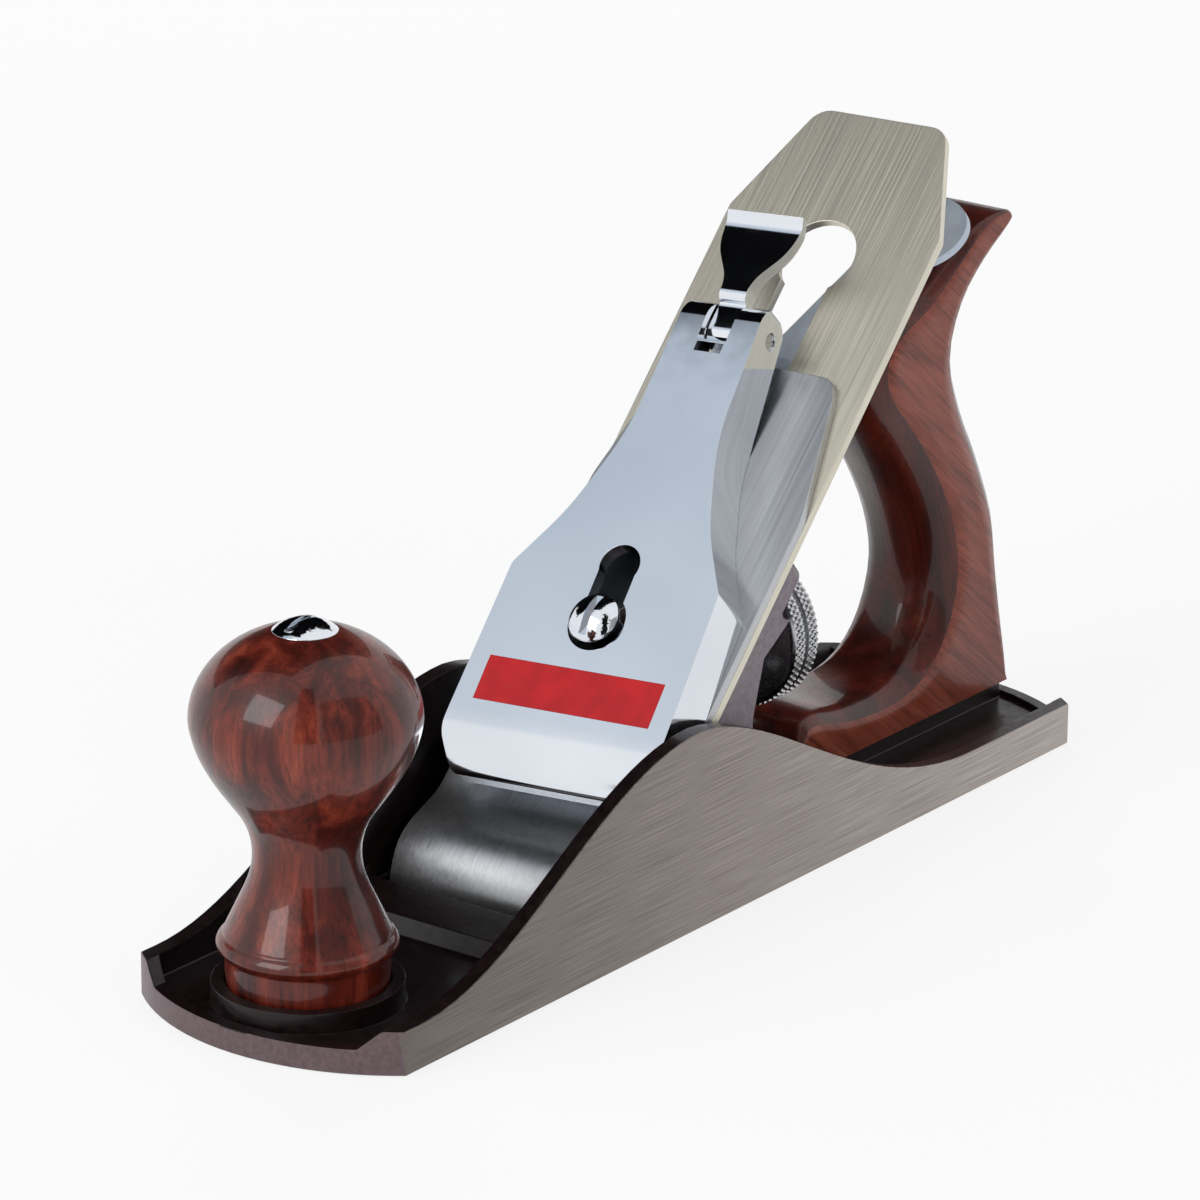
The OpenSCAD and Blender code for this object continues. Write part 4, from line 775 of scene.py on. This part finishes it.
for name in ("frog_screws", "frog_screw_washers", "frog_adjusting_screw", "frog_clip_screw",
             "yoke_pin", "depth_stud", "lateral_lever_rivet", "lateral_roller", "roller_rivet",
             "cam_pin", "spring_rivet", "knob_bolt", "tote_bolt"):
    repaint(name, TURNED_STEEL)
for name in ("yoke", "frog_clip", "lever_cap_spring"):
    repaint(name, DARK_STEEL)
repaint("depth_nut_collar", BRASS)
repaint("cap_iron_screw", SATIN_STEEL)
repaint("lateral_lever", PLAIN_PLATE)

make_body()
make_knob()
dress("knob_nut", CHROME, FINE_EDGE)
dress("tote_nut", CHROME, FINE_EDGE)
make_tote()
make_wheel()
dress("frog", FROG_PAINT, FROG_EDGE, above=CAST_EDGE_ABOVE)
dress("cutter", BRUSHED_BLADE, FINE_EDGE)
dress("cap_iron", SATIN_STEEL, FINE_EDGE)
make_lever_cap()
dress("lever_cap_panel", RED_ENAMEL, PANEL_EDGE)
make_cam_lever()
dress("lever_cap_screw", CHROME, FINE_EDGE)


# Studio: a white floor, soft lamps and the photograph's camera. Its lengths are in metres.

WHITE = (1, 1, 1, 1)

# The floor lies a hair under the sole, and this much of it glows to those who look at it, so
# that it shows white and keeps the part's shadow
FLOOR_SIZE = 6
FLOOR_DROP = 0.0002
FLOOR_GLOW = 0.82

# The world's light on the part, beside the white that is seen behind it
WORLD_LIGHT = 0.55


def seen(tree):
    """1 for what the camera sees, also in a mirror or through glass, and 0 for light that falls."""
    path = add(tree, "ShaderNodeLightPath")
    mirrored = add(tree, "ShaderNodeMath", {
        0: path.outputs["Is Camera Ray"], 1: path.outputs["Is Glossy Ray"]}, operation="MAXIMUM")
    either = add(tree, "ShaderNodeMath", {
        0: mirrored.outputs[0], 1: path.outputs["Is Transmission Ray"]}, operation="MAXIMUM")
    return either.outputs[0]


def make_floor():
    floor = add_plane("floor", FLOOR_SIZE, (0, 0, -FLOOR_DROP))
    material, tree = new_material("white_paper_floor")
    paper = add(tree, "ShaderNodeBsdfPrincipled", {
        "Base Color": colour("#F2F2F2"), "Roughness": 0.9})
    glow = add(tree, "ShaderNodeEmission", {"Color": WHITE, "Strength": 1.0})
    part = add(tree, "ShaderNodeMath", {0: seen(tree), 1: FLOOR_GLOW}, operation="MULTIPLY")
    mix = add(tree, "ShaderNodeMixShader", {
        0: part.outputs[0], 1: paper.outputs["BSDF"], 2: glow.outputs["Emission"]})
    add(tree, "ShaderNodeOutputMaterial", {"Surface": mix.outputs[0]})
    floor.data.materials.append(material)


def make_world():
    world = bpy.data.worlds.new("studio")
    bpy.context.scene.world = world
    world.use_nodes = True
    tree = world.node_tree
    tree.nodes.clear()
    light = add(tree, "ShaderNodeBackground", {"Color": colour("#EEF2F8"), "Strength": WORLD_LIGHT})
    plain = add(tree, "ShaderNodeBackground", {"Color": WHITE, "Strength": 1.0})
    mix = add(tree, "ShaderNodeMixShader", {
        0: seen(tree), 1: light.outputs[0], 2: plain.outputs[0]})
    add(tree, "ShaderNodeOutputWorld", {"Surface": mix.outputs[0]})


# What the lamps point at, a little above the sole
LAMP_AIM = Vector((0, 0, 0.05))


def add_lamp(name, place, size, power, mirrored=True):
    """A soft lamp, with its width and height, that the plated pieces may or may not mirror."""
    data = bpy.data.lights.new(name, "AREA")
    data.shape = "RECTANGLE"
    data.size, data.size_y = size
    data.energy = power
    lamp = bpy.data.objects.new(name, data)
    bpy.context.scene.collection.objects.link(lamp)
    lamp.location = place
    lamp.rotation_euler = (LAMP_AIM - Vector(place)).to_track_quat("-Z", "Y").to_euler()
    lamp.visible_glossy = mirrored


# The cards stand round this point on the plane, and a direction and a distance place a corner
CARD_CENTRE = Vector((0, 0, 0.08))


def add_card(name, corners, distance, felt=None, lit=None):
    """A studio card that only reflections see: a felt one, with its colour, keeps a dark band in
    the plated metal, and a lit one, with stops from its toe end to its heel end, a soft tint."""
    card = add_plane(name, 1)
    # A plane's points are numbered in rows, and the corners go round
    for vertex, k in zip(card.data.vertices, (0, 1, 3, 2)):
        vertex.co = Vector(corners[k]).normalized() * distance + CARD_CENTRE
    material, tree = new_material(name + "_surface")
    if lit:
        low = min(v.co.x for v in card.data.vertices)
        high = max(v.co.x for v in card.data.vertices)
        tint = add(tree, "ShaderNodeValToRGB", {"Fac": along_x(tree, low, high)}, lit)
        shader = add(tree, "ShaderNodeEmission", {"Color": tint.outputs["Color"], "Strength": 1.0})
    else:
        shader = add(tree, "ShaderNodeBsdfPrincipled", {
            "Base Color": colour(felt), "Roughness": 1.0, "Specular IOR Level": 0.0})
    add(tree, "ShaderNodeOutputMaterial", {"Surface": shader.outputs[0]})
    card.data.materials.append(material)
    card.visible_camera = False
    card.visible_diffuse = False
    card.visible_shadow = False
    card.visible_transmission = False


# The camera as fitted to the photograph: its place and aim, its roll, and its lens in
# millimetres on a 36 mm sensor
CAMERA_PLACE = Vector((-0.9212, -0.6778, 0.4472))
CAMERA_AIM = Vector((-0.0105, 0, 0.0579))
CAMERA_ROLL = math.radians(0.45)
CAMERA_LENS = 185.2
CAMERA_SENSOR = 36


def make_camera():
    data = bpy.data.cameras.new("photo_camera")
    data.sensor_width = CAMERA_SENSOR
    data.lens = CAMERA_LENS
    data.clip_start = 0.01
    camera = bpy.data.objects.new("photo_camera", data)
    bpy.context.scene.collection.objects.link(camera)
    turn = (CAMERA_AIM - CAMERA_PLACE).to_track_quat("-Z", "Y").to_matrix()
    turn = turn @ Matrix.Rotation(CAMERA_ROLL, 3, "Z")
    camera.location = CAMERA_PLACE
    camera.rotation_euler = turn.to_euler()
    bpy.context.scene.camera = camera


make_floor()
make_world()
add_lamp("key_lamp", place=(-1.5, 0.3, 1.1), size=(1.0, 1.0), power=14)
add_lamp("fill_lamp", place=(-0.1, -1.5, 0.8), size=(1.0, 0.7), power=5, mirrored=False)
add_lamp("back_lamp", place=(0.9, 0.9, 1.0), size=(0.8, 0.8), power=6, mirrored=False)
add_card("high_card", [(-0.25, 0.1, 1.0), (-0.25, 1.0, 0.3), (0.85, 0.75, 0.05), (0.85, 0.0, 0.6)],
         distance=1.0, felt="#0A0A0B")
add_card("face_card", [(-0.25, 0.3, 0.9), (-0.25, 0.75, 0.62), (-0.5, 0.7, 0.52), (-0.5, 0.3, 0.8)],
         distance=1.02, lit=[(0.0, "#EDF1F5"), (0.5, "#DCE3EA"), (0.7, "#CBD4DE"),
                             (0.85, "#C6D0DB"), (1.0, "#D6DEE6")])
add_card("camera_card",
         [(-0.686, -0.728, 0.0), (-0.893, -0.449, 0.0), (-0.32, -0.14, 0.9), (-0.22, -0.26, 0.9)],
         distance=1.6, felt="#121012")
add_card("right_card",
         [(-0.6, -0.8, 0.0), (0.45, -0.9, 0.0), (0.45, -0.9, 0.85), (-0.4, -0.55, 0.85)],
         distance=1.7, lit=[(0.0, "#B4B0AE"), (1.0, "#8E8A88")])
make_camera()
bpy.context.scene.view_settings.view_transform = "Standard"
